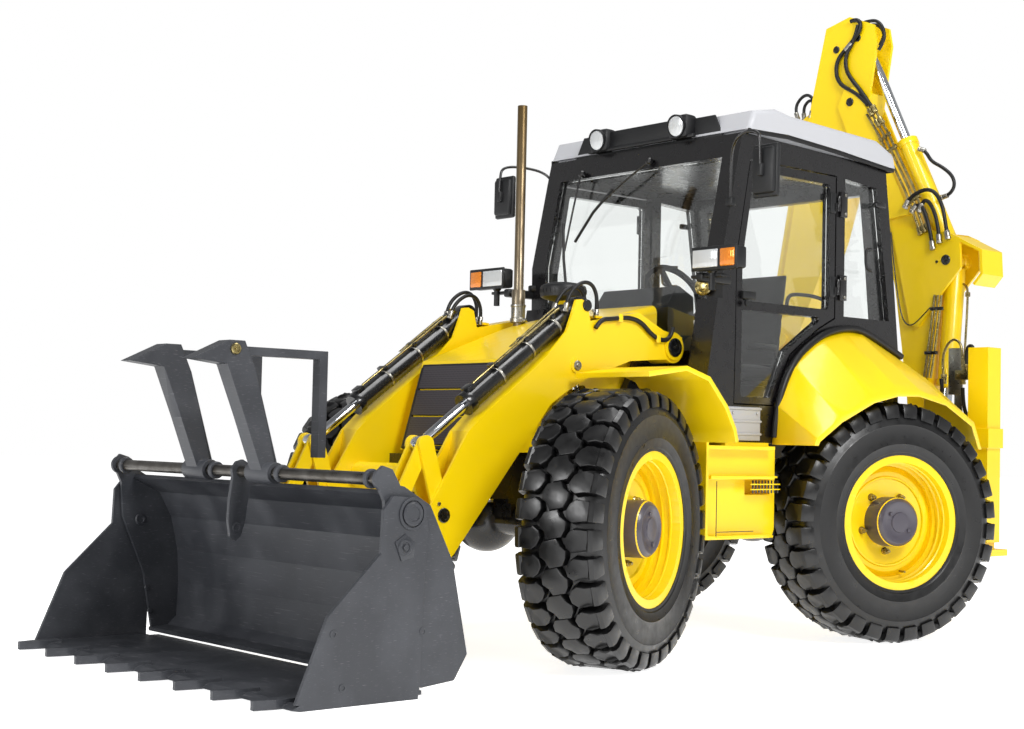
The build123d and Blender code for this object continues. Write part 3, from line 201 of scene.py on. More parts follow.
def metal(name, colour, dark, roughness, grain):
    """Machined metal: fine turning or rolling marks that spread the highlight."""
    material, tree, shader, place = start_material(name, colour, Metallic=1.0)
    blotch = ramp(tree, noise(tree, place, 90, 5), 0.4, 0.75)
    feed(tree, mixed(tree, blotch, colour, dark), shader, "Base Color")
    wander(tree, place, shader, 25, roughness * 0.7, roughness * 1.3)
    bump(tree, shader, noise(tree, place, grain, 2, (1, 1, 6)), 0.06, 0.3)
    return material


def exhaust_steel():
    """Bare steel tube, browned by heat towards its top, with streaks up its length."""
    material, tree, shader, place = start_material("heat_tinted_steel", "#8a7a5c", Metallic=0.9)
    height = add_node(tree, "ShaderNodeSeparateXYZ", {"Vector": place}).outputs["Z"]
    streak = noise(tree, place, 45, 5, (3, 3, 0.3))
    tint = mixed(tree, ramp(tree, height, 1.7, 3.0), "#8d8474", "#7d6742")
    feed(tree, mixed(tree, ramp(tree, streak, 0.4, 0.7, 0, 0.6), tint, "#4c3d29"), shader, "Base Color")
    feed(tree, ramp(tree, streak, 0.3, 0.7, 0.24, 0.5), shader, "Roughness")
    return material


def tyre_rubber():
    """Moulded tyre rubber: near black, slightly shiny from the mould, with grey dust in the grain."""
    material, tree, shader, place = start_material("tyre_rubber", "#0b0b0c", IOR=1.55)
    dust = ramp(tree, noise(tree, place, 130, 7), 0.52, 0.8, 0, 0.4)
    feed(tree, mixed(tree, dust, "#0a0a0b", "#1c1b1a"), shader, "Base Color")
    wander(tree, place, shader, 40, 0.26, 0.46)
    bump(tree, shader, noise(tree, place, 5, 3), 0.14, 0.5)
    return material


def moulded_plastic(name, colour, roughness, grain=3):
    """Moulded plastic: a fine leather-like grain that dulls the highlight."""
    material, tree, shader, place = start_material(name, colour, IOR=1.46)
    cells = add_node(tree, "ShaderNodeTexVoronoi", {"Vector": place, "Scale": 1000.0 / grain})
    wander(tree, place, shader, 80, roughness - 0.06, roughness + 0.06)
    bump(tree, shader, cells.outputs["Distance"], 0.12, 0.4)
    return material


def grille_mesh():
    """Perforated grille panel: rows of small holes, drawn 12 mm apart, each darkened with painted shade."""
    material, tree, shader, place = start_material("perforated_panel", "#3a363b", IOR=1.46, Roughness=0.55)
    holes_and_their_shade = crossed(tree, place, 26.179917)
    # The holes are painted near black as the shade inside them.
    feed(tree, mixed(tree, ramp(tree, holes_and_their_shade, 0.35, 0.55), "#3d393e", "#1d1b1e"), shader, "Base Color")
    bump(tree, shader, holes_and_their_shade, 0.3, -1.0)
    return material


def clear_glass(name, tint):
    """Toughened cab glass: clear, almost without a tint, with sharp reflections."""
    material, tree, shader, place = start_material(name, tint, IOR=1.5, Transmission_Weight=1.0)
    wander(tree, place, shader, 300, 0.0, 0.03)
    return material


def woven_cloth():
    """Woven seat cover: threads about 1 mm apart, drawn 8 mm apart so that they show."""
    material, tree, shader, place = start_material("woven_seat_cloth", "#1a1c1e", Roughness=0.9,
                                                   Sheen_Weight=0.3)
    weave = crossed(tree, place, 40.0)
    feed(tree, mixed(tree, weave, "#131516", "#26292b"), shader, "Base Color")
    bump(tree, shader, weave, 0.4, 0.8)
    return material


def lamp_lens(name, colour):
    """Ribbed lamp glass: ribs 10 mm apart over a bright reflector."""
    material, tree, shader, place = start_material(name, colour, Metallic=0.35, Roughness=0.08,
                                                   Coat_Weight=1.0)
    bump(tree, shader, stripes(tree, place, 30.0, "X"), 0.5, 1.5)
    return material


ENAMEL = paint("yellow_machine_enamel", "#f6d200", "#e3bf0c", 0.36, 0.35)
BLACK = paint("satin_black_enamel", "#0c0b0d", "#171616", 0.28, 0.35)
BARREL = paint("black_cylinder_enamel", "#0d0e0f", "#171718", 0.26, 0.4)
HUB_GREY = paint("dark_grey_hub_enamel", "#46424b", "#504c54", 0.36, 0.3)
TOOL = worn_tool_paint()
CHROME = metal("hard_chrome", "#dfe2e6", "#c3c7cc", 0.09, 6)
ZINC = metal("zinc_plated_steel", "#b3b0a8", "#8d8a80", 0.32, 8)
BARE = metal("bare_rolled_steel", "#6f6c68", "#4b4741", 0.38, 8)
PIPE = metal("yellow_zinc_pipe", "#a89a6a", "#7c6e45", 0.3, 8)
EXHAUST = exhaust_steel()
RUBBER = tyre_rubber()
ROOF = moulded_plastic("grey_roof_moulding", "#b4b5b9", 0.42)
PLASTIC = moulded_plastic("black_cab_plastic", "#121315", 0.46)
HOSE = moulded_plastic("rubber_hose_cover", "#0f0f10", 0.45, 2)
SLATS = grille_mesh()
GLASS = clear_glass("cab_glass", "#fbfdfc")
CLOTH = woven_cloth()
CASTING = paint("painted_casting", "#3b3d3f", "#4a4947", 0.6, 0.0, 0.6)
LENS = lamp_lens("ribbed_lamp_glass", "#d5d8da")
AMBER = lamp_lens("amber_lamp_lens", "#f08a10")
SILL = paint("grey_sill_paint", "#a9aaad", "#8f9094", 0.38, 0.2)

# The finish that goes with each node
NODE_FINISH = {
    "chassis_frame": BLACK, "axles": BLACK, "cab_frame": BLACK, "engine_block": CASTING, "grille": SLATS,
    "exhaust_stack": EXHAUST, "cab_roof": ROOF, "cab_seat": CLOTH, "dash": PLASTIC, "lamps_mirrors": PLASTIC,
    "tilt_cylinder_barrels": BARREL, "lift_cylinder_barrels": BARREL, "bucket_back": TOOL,
    "bucket_clam": TOOL, "fork_tube": BARE, "pallet_forks": TOOL, "dig_bucket": TOOL,
}
# Nodes with these last words share a finish, and all the others are yellow
LAST_WORD = {"rod": CHROME, "rods": CHROME, "glass": GLASS, "door": BLACK, "knuckle": BLACK, "tyre": RUBBER}

# Small rolled edges catch the light, wider ones on pressed and moulded pieces
EDGE = 0.004
SOFT_EDGE = {"cab_roof": 0.026, "hood": 0.01, "front_fenders": 0.008, "rear_fenders": 0.014,
             "cab_seat": 0.012, "dash": 0.01, "lamps_mirrors": 0.008, "bucket_back": 0.003,
             "bucket_clam": 0.003, "dipper": 0.008, "boom": 0.006}
NO_EDGE = {"cab_glass", "left_door_glass", "right_door_glass", "engine_block", "fork_tube"}
EDGE_ANGLE = math.radians(38)
FENDER_ANGLE = math.radians(62)
WELD_REACH = 0.00005
for name, node in NODES.items():
    is_fender = name.endswith("_fenders")
    node.data.materials.clear()
    node.data.materials.append(NODE_FINISH.get(name, LAST_WORD.get(name.split("_")[-1], ENAMEL)))
    weld = node.modifiers.new("weld", "WELD")
    weld.merge_threshold = WELD_REACH
    if name not in NO_EDGE:
        edge = node.modifiers.new("edges", "BEVEL")
        edge.width = SOFT_EDGE.get(name, EDGE)
        edge.segments = 2
        edge.limit_method = "ANGLE"
        edge.angle_limit = FENDER_ANGLE if is_fender else EDGE_ANGLE
        edge.harden_normals = True
    if is_fender:
        node.data.shade_smooth()
        node.data.set_sharp_from_angle(angle=FENDER_ANGLE)


# Ways of making pieces


def new_object(name, mesh, body, finish, smooth=35):
    """Puts a finished mesh in the scene, on its body."""
    mesh.materials.append(finish)
    mesh.shade_smooth()
    mesh.set_sharp_from_angle(angle=math.radians(smooth))
    made = bpy.data.objects.new(name, mesh)
    bpy.context.scene.collection.objects.link(made)
    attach(made, body)
    return made


def as_mesh(part, name):
    """A mesh made of a bmesh part, which is used up."""
    mesh = bpy.data.meshes.new(name)
    part.to_mesh(mesh)
    part.free()
    return mesh


def piece(name, parts, body, finish, smooth=35):
    """One object from several bmesh parts."""
    whole = bmesh.new()
    for part in parts:
        mesh = as_mesh(part, "part")
        whole.from_mesh(mesh)
        bpy.data.meshes.remove(mesh)
    return new_object(name, as_mesh(whole, name), body, finish, smooth)


def move(parts, matrix):
    """Moves several parts in the same way."""
    for part in parts:
        bmesh.ops.transform(part, matrix=matrix, verts=part.verts)


def place(part, centre, axis=UP, spin=0.0):
    """Turns a part from the Z axis to an axis, and moves it to its centre."""
    matrix = Matrix.Translation(Vector(centre)) @ turned_to(axis) @ Matrix.Rotation(spin, 4, "Z")
    bmesh.ops.transform(part, matrix=matrix, verts=part.verts)
    return part


def rounded(part, width, segments=2, edges=None):
    """Rolls the edges of a part, all of them or those given."""
    bmesh.ops.bevel(part, geom=edges or part.edges[:], offset=width, segments=segments, profile=0.5,
                    affect="EDGES", material=-1, clamp_overlap=True)
    return part


def box(size, centre, edge=0.003, matrix=None):
    """A block with rolled edges."""
    part = bmesh.new()
    bmesh.ops.create_cube(part, size=1.0)
    bmesh.ops.scale(part, vec=size, verts=part.verts)
    if edge:
        rounded(part, edge)
    if matrix:
        bmesh.ops.transform(part, matrix=matrix, verts=part.verts)
    bmesh.ops.translate(part, vec=Vector(centre), verts=part.verts)
    return part


def turned(profile, centre=(0, 0, 0), axis=UP, steps=32):
    """A turned part, from (radius, height) pairs along its axis."""
    part = bmesh.new()
    verts = [part.verts.new((radius, 0, height)) for radius, height in profile]
    for pair in zip(verts, verts[1:]):
        part.edges.new(pair)
    bmesh.ops.spin(part, geom=part.verts[:] + part.edges[:], cent=(0, 0, 0), axis=(0, 0, 1),
                   angle=2 * math.pi, steps=steps, use_merge=True, use_duplicate=False)
    bmesh.ops.remove_doubles(part, verts=part.verts, dist=0.00001)
    bmesh.ops.recalc_face_normals(part, faces=part.faces)
    return place(part, centre, axis)


def hexagon(radius, height, centre, axis, spin=0.0):
    """A bolt head or nut, chamfered at its top."""
    part = bmesh.new()
    bmesh.ops.create_cone(part, cap_ends=True, segments=6, radius1=radius, radius2=radius, depth=height)
    rounded(part, radius * 0.12, 1)
    bmesh.ops.translate(part, vec=(0, 0, height / 2), verts=part.verts)
    return place(part, centre, axis, spin)


def plate(outline, thick, matrix, edge=0.002):
    """A plate from an outline in its own plane, thickened along Z, then placed."""
    part = bmesh.new()
    face = part.faces.new([part.verts.new((a, b, 0)) for a, b in outline])
    top = bmesh.ops.extrude_face_region(part, geom=[face])
    raised = [item for item in top["geom"] if isinstance(item, bmesh.types.BMVert)]
    bmesh.ops.translate(part, vec=(0, 0, thick), verts=raised)
    bmesh.ops.recalc_face_normals(part, faces=part.faces)
    if edge:
        rounded(part, edge)
    bmesh.ops.transform(part, matrix=matrix, verts=part.verts)
    return part


def side_plane(x):
    """Places an outline of (y, z), measured from midway between the axles, in the plane at x."""
    turn = Matrix(((0, 0, 1, 0), (1, 0, 0, 0), (0, 1, 0, 0), (0, 0, 0, 1)))
    return Matrix.Translation((x, MID, 0)) @ turn


def tubes(name, routes, radius, body, finish, smooth_route=True):
    """Hoses or pipes: each route is one line through the air, smooth or straight between its points."""
    curve = bpy.data.curves.new(name, "CURVE")
    curve.dimensions = "3D"
    curve.bevel_depth = radius
    curve.bevel_resolution = 3
    curve.use_fill_caps = True
    for points in routes:
        line = curve.splines.new("NURBS" if smooth_route else "POLY")
        line.points.add(len(points) - 1)
        for point, where in zip(line.points, points):
            point.co = (*where, 1)
        if smooth_route:
            line.order_u = 3
            line.use_endpoint_u = True
            line.resolution_u = 10
    source = bpy.data.objects.new(name, curve)
    mesh = bpy.data.meshes.new_from_object(source)
    mesh.name = name
    bpy.data.objects.remove(source)
    return new_object(name, mesh, body, finish, 60)


# Tyres: a carcass and three rows of interlocking lugs
LUG_COUNT = 32
LUG_PITCH = 2 * math.pi / LUG_COUNT
LUG_FLOOR = 0.636
CROWN_R = 0.684
CROWN_HALF = 0.145
TREAD_HALF = 0.199
WALL_FOOT = 0.17
CARCASS = [(0.3555, 0.156), (0.3825, 0.182), (0.3825, 0.204), (0.396, 0.2055), (0.402, 0.2105),
           (0.44, 0.2155), (0.446, 0.2185), (0.452, 0.2165), (0.50, 0.2185), (0.55, 0.2175),
           (0.556, 0.219), (0.562, 0.216), (0.592, 0.207), (0.616, 0.192), (0.634, 0.166),
           (0.642, 0.12), (0.645, 0.0)]
SHOULDER = [(-0.37, 0.197), (0.37, 0.197), (0.40, 0.14), (0.46, 0.100), (0.30, 0.066), (0.02, 0.058),
            (-0.26, 0.078), (-0.42, 0.108), (-0.38, 0.15)]
CENTRE = [(-0.56, 0.022), (-0.30, 0.040), (-0.14, 0.072), (0.16, 0.070), (0.44, 0.050), (0.56, -0.022),
          (0.30, -0.040), (0.14, -0.072), (-0.16, -0.070), (-0.44, -0.050)]
SHOULDER_WALL = [(0.650, 0.150), (0.676, 0.178), (0.668, 0.199), (0.650, 0.2105), (0.606, 0.2168),
                 (0.596, 0.2168), (0.592, 0.198), (0.62, 0.17)]


def tread_radius(across):
    """The lugs' outer surface: flat over the crown, rounded to the shoulder."""
    return CROWN_R - 0.030 * max(0.0, (abs(across) - CROWN_HALF) / 0.052) ** 1.6


def loft(part, rings):
    """Side faces from each ring of corners to the next."""
    for low, high in zip(rings, rings[1:]):
        for i in range(len(low)):
            j = (i + 1) % len(low)
            part.faces.new((low[i], low[j], high[j], high[i]))


def lug(outline, turn, flip):
    """One lug about the Z axis, from (share of the pitch, distance across) pairs."""
    part = bmesh.new()
    middle = sum(b for a, b in outline) / len(outline)
    rings = []
    for depth, spread in ((0.0, 1.06), (0.6, 0.985), (1.0, 0.93)):
        ring = []
        for share, across in outline:
            angle = share * spread * LUG_PITCH * flip + turn
            wide = (middle + (across - middle) * spread) * flip
            wide = max(-TREAD_HALF, min(TREAD_HALF, wide))
            radius = LUG_FLOOR + (tread_radius(wide) - LUG_FLOOR) * depth
            ring.append(part.verts.new(polar(radius, angle, wide)))
        rings.append(ring)
    base = part.faces.new(rings[0])
    loft(part, rings)
    top = part.faces.new(rings[-1])
    bmesh.ops.recalc_face_normals(part, faces=part.faces)
    rounded(part, 0.005, 2, top.edges[:])
    bmesh.ops.delete(part, geom=[base], context="FACES_ONLY")
    return part


def shoulder_wall(turn, flip):
    """The lower end of a shoulder lug, wrapped over the tyre's shoulder onto its side."""
    part = bmesh.new()
    ends = []
    for share, spread in ((-0.36, 0.94), (-0.31, 1.0), (0.31, 1.0), (0.36, 0.94)):
        angle = share * LUG_PITCH + turn
        ends.append([part.verts.new(polar(radius, angle, (WALL_FOOT + (wide - WALL_FOOT) * spread) * flip))
                     for radius, wide in SHOULDER_WALL])
    part.faces.new(ends[0])
    part.faces.new(ends[-1])
    loft(part, ends)
    bmesh.ops.recalc_face_normals(part, faces=part.faces)
    return part


def wheel_matrix(corner):
    """From a wheel built about the Z axis to its place on the machine, turned as it is steered."""
    spin_joint = JOINTS[f"{corner}_spin"]
    outward = Vector(spin_joint["axis"])
    if outward.x * spin_joint["pos_m"][0] < 0:
        outward.negate()
    return Matrix.Translation(Vector(spin_joint["pos_m"])) @ turned_to(outward)


def tyre(corner):
    """A tyre that stands for the plain one."""
    parts = [turned(CARCASS + [(radius, -wide) for radius, wide in CARCASS[-2::-1]], steps=96)]
    for outline, offset, flip in ((SHOULDER, 0.0, 1), (SHOULDER, 0.0, -1), (CENTRE, 0.5, 1)):
        parts += [lug(outline, (i + offset) * LUG_PITCH, flip) for i in range(LUG_COUNT)]
    for i in range(LUG_COUNT):
        parts += [shoulder_wall(i * LUG_PITCH, flip) for flip in (1, -1)]
    move(parts, wheel_matrix(corner))
    made = piece(f"{corner}_treaded_tyre", parts, f"{corner}_wheel", RUBBER, 30)
    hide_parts(f"{corner}_tyre")


# Wheel hubs: a grey planetary cover, nuts round it and the valve
HUB_R = 0.140
HUB_FACE = 0.191
NUT_COUNT = 5
NUT_RING_R = 0.170
RIM_WELL_R = 0.3405


def wheel_trim(corner):
    """Hub cover, nuts with washers, beads round the rim, and the valve."""
    cover = [turned([(HUB_R + 0.001, 0.050), (HUB_R + 0.0015, 0.166), (HUB_R - 0.010, 0.183),
                     (HUB_R - 0.022, HUB_FACE + 0.002), (0.096, HUB_FACE + 0.002), (0.093, HUB_FACE),
                     (0.058, HUB_FACE), (0.055, HUB_FACE + 0.006), (0.034, HUB_FACE + 0.007),
                     (0, HUB_FACE + 0.007)], steps=48)]
    cover += [hexagon(0.012, 0.008, polar(0.076, angle, HUB_FACE), UP) for angle in (0.6, math.pi + 0.6)]
    rings = []
    for low, high, deep in ((0.140, 0.156, 0.007), (0.100, 0.112, 0.010), (0.030, 0.075, 0.022)):
        rings.append(turned([(RIM_WELL_R, low), (RIM_WELL_R - deep, low + 0.004),
                             (RIM_WELL_R - deep, high - 0.004), (RIM_WELL_R, high)], steps=64))
    rings.append(turned([(0.262, 0.066), (0.256, 0.074), (0.248, 0.074), (0.243, 0.0625)], steps=64))
    first = -math.pi / 2 + (math.pi / NUT_COUNT if corner.startswith("front") else 0)
    nuts = []
    for i in range(NUT_COUNT):
        angle = first + 2 * math.pi * i / NUT_COUNT
        where = polar(NUT_RING_R, angle, 0.045)
        nuts += [turned([(0.0215, 0), (0.0215, 0.010), (0.017, 0.016), (0, 0.016)], where, steps=18),
                 hexagon(0.0175, 0.022, where + Vector((0, 0, 0.014)), UP, angle),
                 turned([(0.010, 0.03), (0.010, 0.050), (0.007, 0.054), (0, 0.054)], where, steps=12)]
    nuts.append(turned([(0.006, 0), (0.006, 0.05), (0, 0.05)], (0.30, 0, 0.07), steps=10))
    move(cover + rings + nuts, wheel_matrix(corner))
    body = f"{corner}_wheel"
    piece(f"{corner}_hub_cover", cover, body, HUB_GREY)
    piece(f"{corner}_wheel_nuts", nuts, body, PIPE, 30)
    piece(f"{corner}_rim_beads", rings, body, ENAMEL)


for corner in CORNERS:
    tyre(corner)
    wheel_trim(corner)


# Small fittings that many pieces share


def beside(points, y, offset):
    """A route over a face, moved sideways within it."""
    moved = []
    for i, (x, z) in enumerate(points):
        before = points[max(i - 1, 0)]
        after = points[min(i + 1, len(points) - 1)]
        along = after[0] - before[0]
        rise = after[1] - before[1]
        run = math.hypot(along, rise)
        moved.append(at(x + offset * rise / run, y, z - offset * along / run))
    return moved


def pin_cap(centre, axis, radius, height, bolt=0.3):
    """The head of a pin: a chamfered disc with a keeper bolt at its middle."""
    edge = min(height * 0.4, radius * 0.15)
    parts = [turned([(radius, 0), (radius, height - edge), (radius - edge, height), (radius * 0.62, height),
                     (radius * 0.58, height - edge * 0.6), (0, height - edge * 0.6)], centre, axis, 24)]
    if bolt:
        top = Vector(centre) + Vector(axis) * (height - edge)
        parts.append(hexagon(radius * bolt, height * 0.8, top, axis))
    return parts


def collar(centre, axis, outer, inner, width):
    """A ring round a pin or tube."""
    edge = width * 0.2
    return turned([(inner, 0), (outer - edge, 0), (outer, edge), (outer, width - edge), (outer - edge, width),
                   (inner, width), (inner, 0)], centre, axis, 28)


def fitting(centre, axis, radius):
    """A crimped hose end: ferrule and hexagon."""
    axis = Vector(axis).normalized()
    centre = Vector(centre)
    ferrule = turned([(0, -3.2 * radius), (1.25 * radius, -3.2 * radius), (1.4 * radius, -2.9 * radius),
                      (1.4 * radius, -0.3 * radius), (1.2 * radius, 0), (0, 0)], centre, axis, 16)
    return [ferrule, hexagon(1.65 * radius, 1.5 * radius, centre, axis)]


def hose_run(name, routes, radius, body):
    """Rubber hoses, with a crimped fitting at both ends of each."""
    tubes(name, routes, radius, body, HOSE)
    parts = []
    for points in routes:
        parts += fitting(points[0], points[0] - points[1], radius)
        parts += fitting(points[-1], points[-1] - points[-2], radius)
    piece(f"{name}_fittings", parts, body, ZINC, 30)


# Lamps and mirrors, which stand for the plain ones
LAMP_Z = 2.087
ROOF_LAMP_X = 0.325
LAMP_TILT = Vector((0, -1, -0.12)).normalized()
shells = []
lenses = []
ambers = []
for hand in (1, -1):
    middle = at(hand * 0.93, -0.30, LAMP_Z)
    lamp_at = at(hand * ROOF_LAMP_X, -0.005, 2.915)
    shells += [
        box((0.31, 0.085, 0.118), middle, 0.014),
        box((0.320, 0.014, 0.128), middle + Vector((0, -0.040, 0)), 0.005),
        turned([(0.018, 0), (0.018, 0.09), (0.026, 0.10), (0.026, 0.115), (0, 0.115)],
               middle + Vector((-hand * 0.05, 0.0, -0.165)), UP, 16),
        box((0.22, 0.05, 0.018), middle + Vector((-hand * 0.10, 0.03, -0.085)), 0.005),
        box((0.05, 0.24, 0.05), at(hand * 0.79, -0.185, LAMP_Z - 0.09), 0.012),
        box((0.150, 0.10, 0.138), lamp_at + Vector((0, 0.048, 0)), 0.026),
        turned([(0.040, -0.06), (0.056, -0.05), (0.066, -0.01), (0.067, 0.014), (0.061, 0.014), (0.060, 0.0),
                (0.030, -0.03), (0, -0.036)], lamp_at, LAMP_TILT, 32),
    ]
    lenses += [box((0.176, 0.012, 0.096), middle + Vector((-hand * 0.060, -0.046, 0)), 0.005),
               turned([(0.060, 0.002), (0.056, 0.010), (0.035, 0.015), (0, 0.017)], lamp_at, LAMP_TILT, 32)]
    ambers.append(box((0.100, 0.056, 0.096), middle + Vector((hand * 0.096, -0.026, 0)), 0.008))
shells += [box((0.60, 0.035, 0.105), at(0, 0.045, 2.913), 0.012),
           box((0.86, 0.030, 0.020), at(0, 0.030, 2.856), 0.006)]
mirror_faces = []
for x, y, z, tall in ((1.11, -0.15, 2.555, 0.285), (-1.06, -0.10, 2.63, 0.265)):
    middle = at(x, y, z)
    shells += [box((0.172, 0.030, tall), middle + Vector((0, 0.006, 0)), 0.013),
               box((0.150, 0.040, tall - 0.035), middle + Vector((0, -0.012, 0)), 0.019),
               box((0.034, 0.05, 0.07), middle + Vector((0, -0.030, 0)), 0.010)]
    mirror_faces.append(box((0.156, 0.004, tall - 0.02), middle + Vector((0, 0.0215, 0)), 0.0015))
lamp_shells = piece("lamp_and_mirror_shells", shells, "chassis", PLASTIC)
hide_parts("lamps_mirrors")
piece("lamp_lenses", lenses, "chassis", LENS)
piece("amber_lenses", ambers, "chassis", AMBER)
piece("mirror_faces", mirror_faces, "chassis", CHROME)
mirror_arms = [
    route([(0.782, -0.055, 2.42), (0.80, -0.075, 2.60), (0.86, -0.13, 2.74), (1.00, -0.19, 2.775),
           (1.10, -0.20, 2.76), (1.112, -0.20, 2.70), (1.112, -0.195, 2.56)]),
    route([(-0.775, -0.075, 2.033), (-0.80, -0.03, 2.15), (-0.80, 0.018, 2.30), (-0.80, 0.093, 2.60),
           (-0.80, 0.15, 2.70), (-0.790, 0.20, 2.735), (-0.775, 0.24, 2.739)]),
    route([(-0.80, 0.085, 2.57), (-0.84, 0.13, 2.70), (-0.92, 0.12, 2.80), (-1.03, 0.0, 2.835),
           (-1.06, -0.12, 2.82), (-1.06, -0.145, 2.76), (-1.06, -0.145, 2.64)]),
]
tubes("mirror_arms", mirror_arms, 0.0085, "chassis", BLACK)
clamps = [box((0.05, 0.05, 0.075), at(-0.80, 0.088, 2.575), 0.008),
          box((0.05, 0.04, 0.05), at(0.79, -0.06, 2.43), 0.008),
          turned([(0.0, 0), (0.032, 0), (0.036, 0.006), (0.036, 0.03), (0.030, 0.036), (0, 0.036)],
                 at(-0.775, -0.09, 2.02), UP, 20)]
piece("mirror_clamps", clamps, "chassis", PLASTIC)
side_lamp = turned([(0, 0.0), (0.046, 0.0), (0.050, 0.006), (0.050, 0.022), (0.044, 0.028), (0.038, 0.024),
                    (0.034, 0.030), (0.024, 0.024), (0.016, 0.032), (0, 0.034)],
                   at(0.66, -0.115, 1.967), (0.35, -1, 0.05), 32)
piece("side_lamp_ring", [side_lamp], "chassis", PIPE)

# Wipers on the windscreen
wiper_arms = [route([(0.11, -0.012, 2.735), (-0.05, -0.035, 2.64), (-0.28, -0.045, 2.50)]),
              route([(-0.45, -0.02, 2.72), (-0.47, -0.06, 2.50), (-0.50, -0.095, 2.25)])]
tubes("wiper_arms", wiper_arms, 0.006, "chassis", BLACK, False)
blades = [route([(-0.16, -0.030, 2.60), (-0.30, -0.055, 2.47), (-0.42, -0.085, 2.30)]),
          route([(-0.52, -0.09, 2.42), (-0.50, -0.100, 2.20), (-0.46, -0.096, 1.90)])]
tubes("wiper_blades", blades, 0.009, "chassis", HOSE, False)
pivots = [turned([(0.022, 0), (0.022, 0.02), (0.014, 0.03), (0, 0.03)], where, (0, -1, 0.3), 16)
          for where in route([(0.11, 0.005, 2.735), (-0.45, 0.0, 2.72)])]
piece("wiper_pivots", pivots, "chassis", BLACK)

# Roof: rubber band round its lower edge, the hump behind and a rib along each side
BAND_TALL = 0.026
ROOF_LOW = [(0.062, 2.853), (0.40, 2.862), (0.86, 2.837), (1.35, 2.797), (1.398, 2.797)]
outline = ROOF_LOW + [(y, z - BAND_TALL) for y, z in ROOF_LOW[::-1]]
roof_band = [plate(outline, 0.010, side_plane(x)) for x in (0.798, -0.808)]
roof_band.append(box((1.60, 0.012, BAND_TALL), at(0, 1.394, 2.784)))
piece("roof_rubber_band", roof_band, "chassis", HOSE)
humps = [box((0.20, 0.24, 0.060), at(0.02, 1.10, 2.966), 0.018)]
humps += [box((0.075, 1.02, 0.016), at(hand * 0.60, 0.80, 2.958), 0.007) for hand in (1, -1)]
piece("roof_hump_and_ribs", humps, "chassis", ROOF)

# Cab side: hinge leaves and bolts, handles, sill
HINGE_Z = (2.035, 2.525)
GRAB = [(0.782, 1.20, 2.283), (0.825, 1.17, 2.283), (0.828, 1.115, 2.28), (0.828, 1.10, 2.25),
        (0.828, 1.10, 2.19), (0.828, 1.115, 2.158), (0.825, 1.17, 2.155), (0.782, 1.20, 2.155)]
DOOR_RAIL = [(0.722, 0.84, 1.96), (0.70, 0.80, 1.98), (0.70, 0.60, 1.98), (0.70, 0.54, 1.96),
             (0.705, 0.52, 1.88), (0.722, 0.52, 1.86)]
leaves = []
bolts = []
sills = []
for side_name, hand in (("left", 1), ("right", -1)):
    out = (hand, 0, 0)
    for z in HINGE_Z:
        leaves.append(box((0.016, 0.060, 0.150), at(hand * 0.789, 0.935, z), 0.004))
        bolts += [hexagon(0.010, 0.008, at(hand * 0.797, 0.940, z + dz), out) for dz in (-0.055, 0.055)]
    leaves.append(box((0.03, 0.10, 0.035), at(hand * 0.79, 1.28, 2.56), 0.008))
    fittings = [box((0.014, 0.050, 0.120), at(hand * 0.786, 0.838, z), 0.004) for z in HINGE_Z]
    fittings += [box((0.026, 0.11, 0.045), at(hand * 0.790, 0.10, 1.93), 0.008),
                 turned([(0.018, 0), (0.018, 0.012), (0, 0.014)], at(hand * 0.800, 0.07, 1.885), out, 16)]
    piece(f"{side_name}_door_fittings", fittings, f"{side_name}_door", PLASTIC)
    tubes(f"{side_name}_door_rail", [route(DOOR_RAIL, hand)], 0.011, f"{side_name}_door", PLASTIC)
    sills.append(box((0.014, 0.51, 0.185), at(hand * 0.788, -0.045, 1.222), 0.004))
    sills += [box((0.026, 0.52, 0.014), at(hand * 0.790, -0.045, z), 0.005) for z in (1.165, 1.235, 1.305)]
    sills += [hexagon(0.009, 0.008, at(hand * 0.795, y, 1.28), out) for y in (-0.27, -0.02, 0.18)]
piece("hinge_leaves", leaves, "chassis", BLACK)
piece("hinge_bolts", bolts, "chassis", ZINC, 30)
tubes("grab_handles", [route(GRAB, hand) for hand in (1, -1)], 0.009, "chassis", PLASTIC)
piece("door_sills", sills, "chassis", SILL)

# Arch seals: a black rubber strip over each rear fender's edge against the cab
SEAL = [(0.325, 1.15), (0.345, 1.345), (0.476, 1.590), (0.730, 1.752), (0.94, 1.802), (1.11, 1.802),
        (1.42, 1.692), (1.50, 1.66)]
tubes("fender_seals", [along_side(SEAL, x) for x in (0.800, -0.800)], 0.020, "chassis", HOSE)

# Hood: the air pre-cleaner with its ribs, and the exhaust's clamp
RIB_COUNT = 28
cleaner = [turned([(0.0, -0.22), (0.036, -0.22), (0.036, -0.075), (0.060, -0.068), (0.112, -0.056),
                   (0.127, -0.045), (0.130, -0.020), (0.130, 0.006), (0.124, 0.018), (0.098, 0.030),
                   (0.055, 0.037), (0, 0.040)], at(0.0, -0.56, 1.955), UP, 48)]
for i in range(RIB_COUNT):
    angle = 2 * math.pi * i / RIB_COUNT
    cleaner.append(box((0.006, 0.004, 0.022), at(0, -0.56, 1.941) + polar(0.130, angle), 0,
                       Matrix.Rotation(angle, 4, "Z")))
piece("air_precleaner", cleaner, "chassis", PLASTIC)
pipe_at = at(-0.285, -0.644, 0)
clamp = [turned([(0.0385, 1.772), (0.046, 1.775), (0.046, 1.795), (0.0405, 1.80), (0.0405, 1.86),
                 (0.044, 1.863), (0.044, 1.875), (0.0385, 1.878)], pipe_at),
         box((0.030, 0.016, 0.016), pipe_at + Vector((0.052, 0, 1.785)), 0.004)]
piece("exhaust_clamp", clamp, "chassis", ZINC)

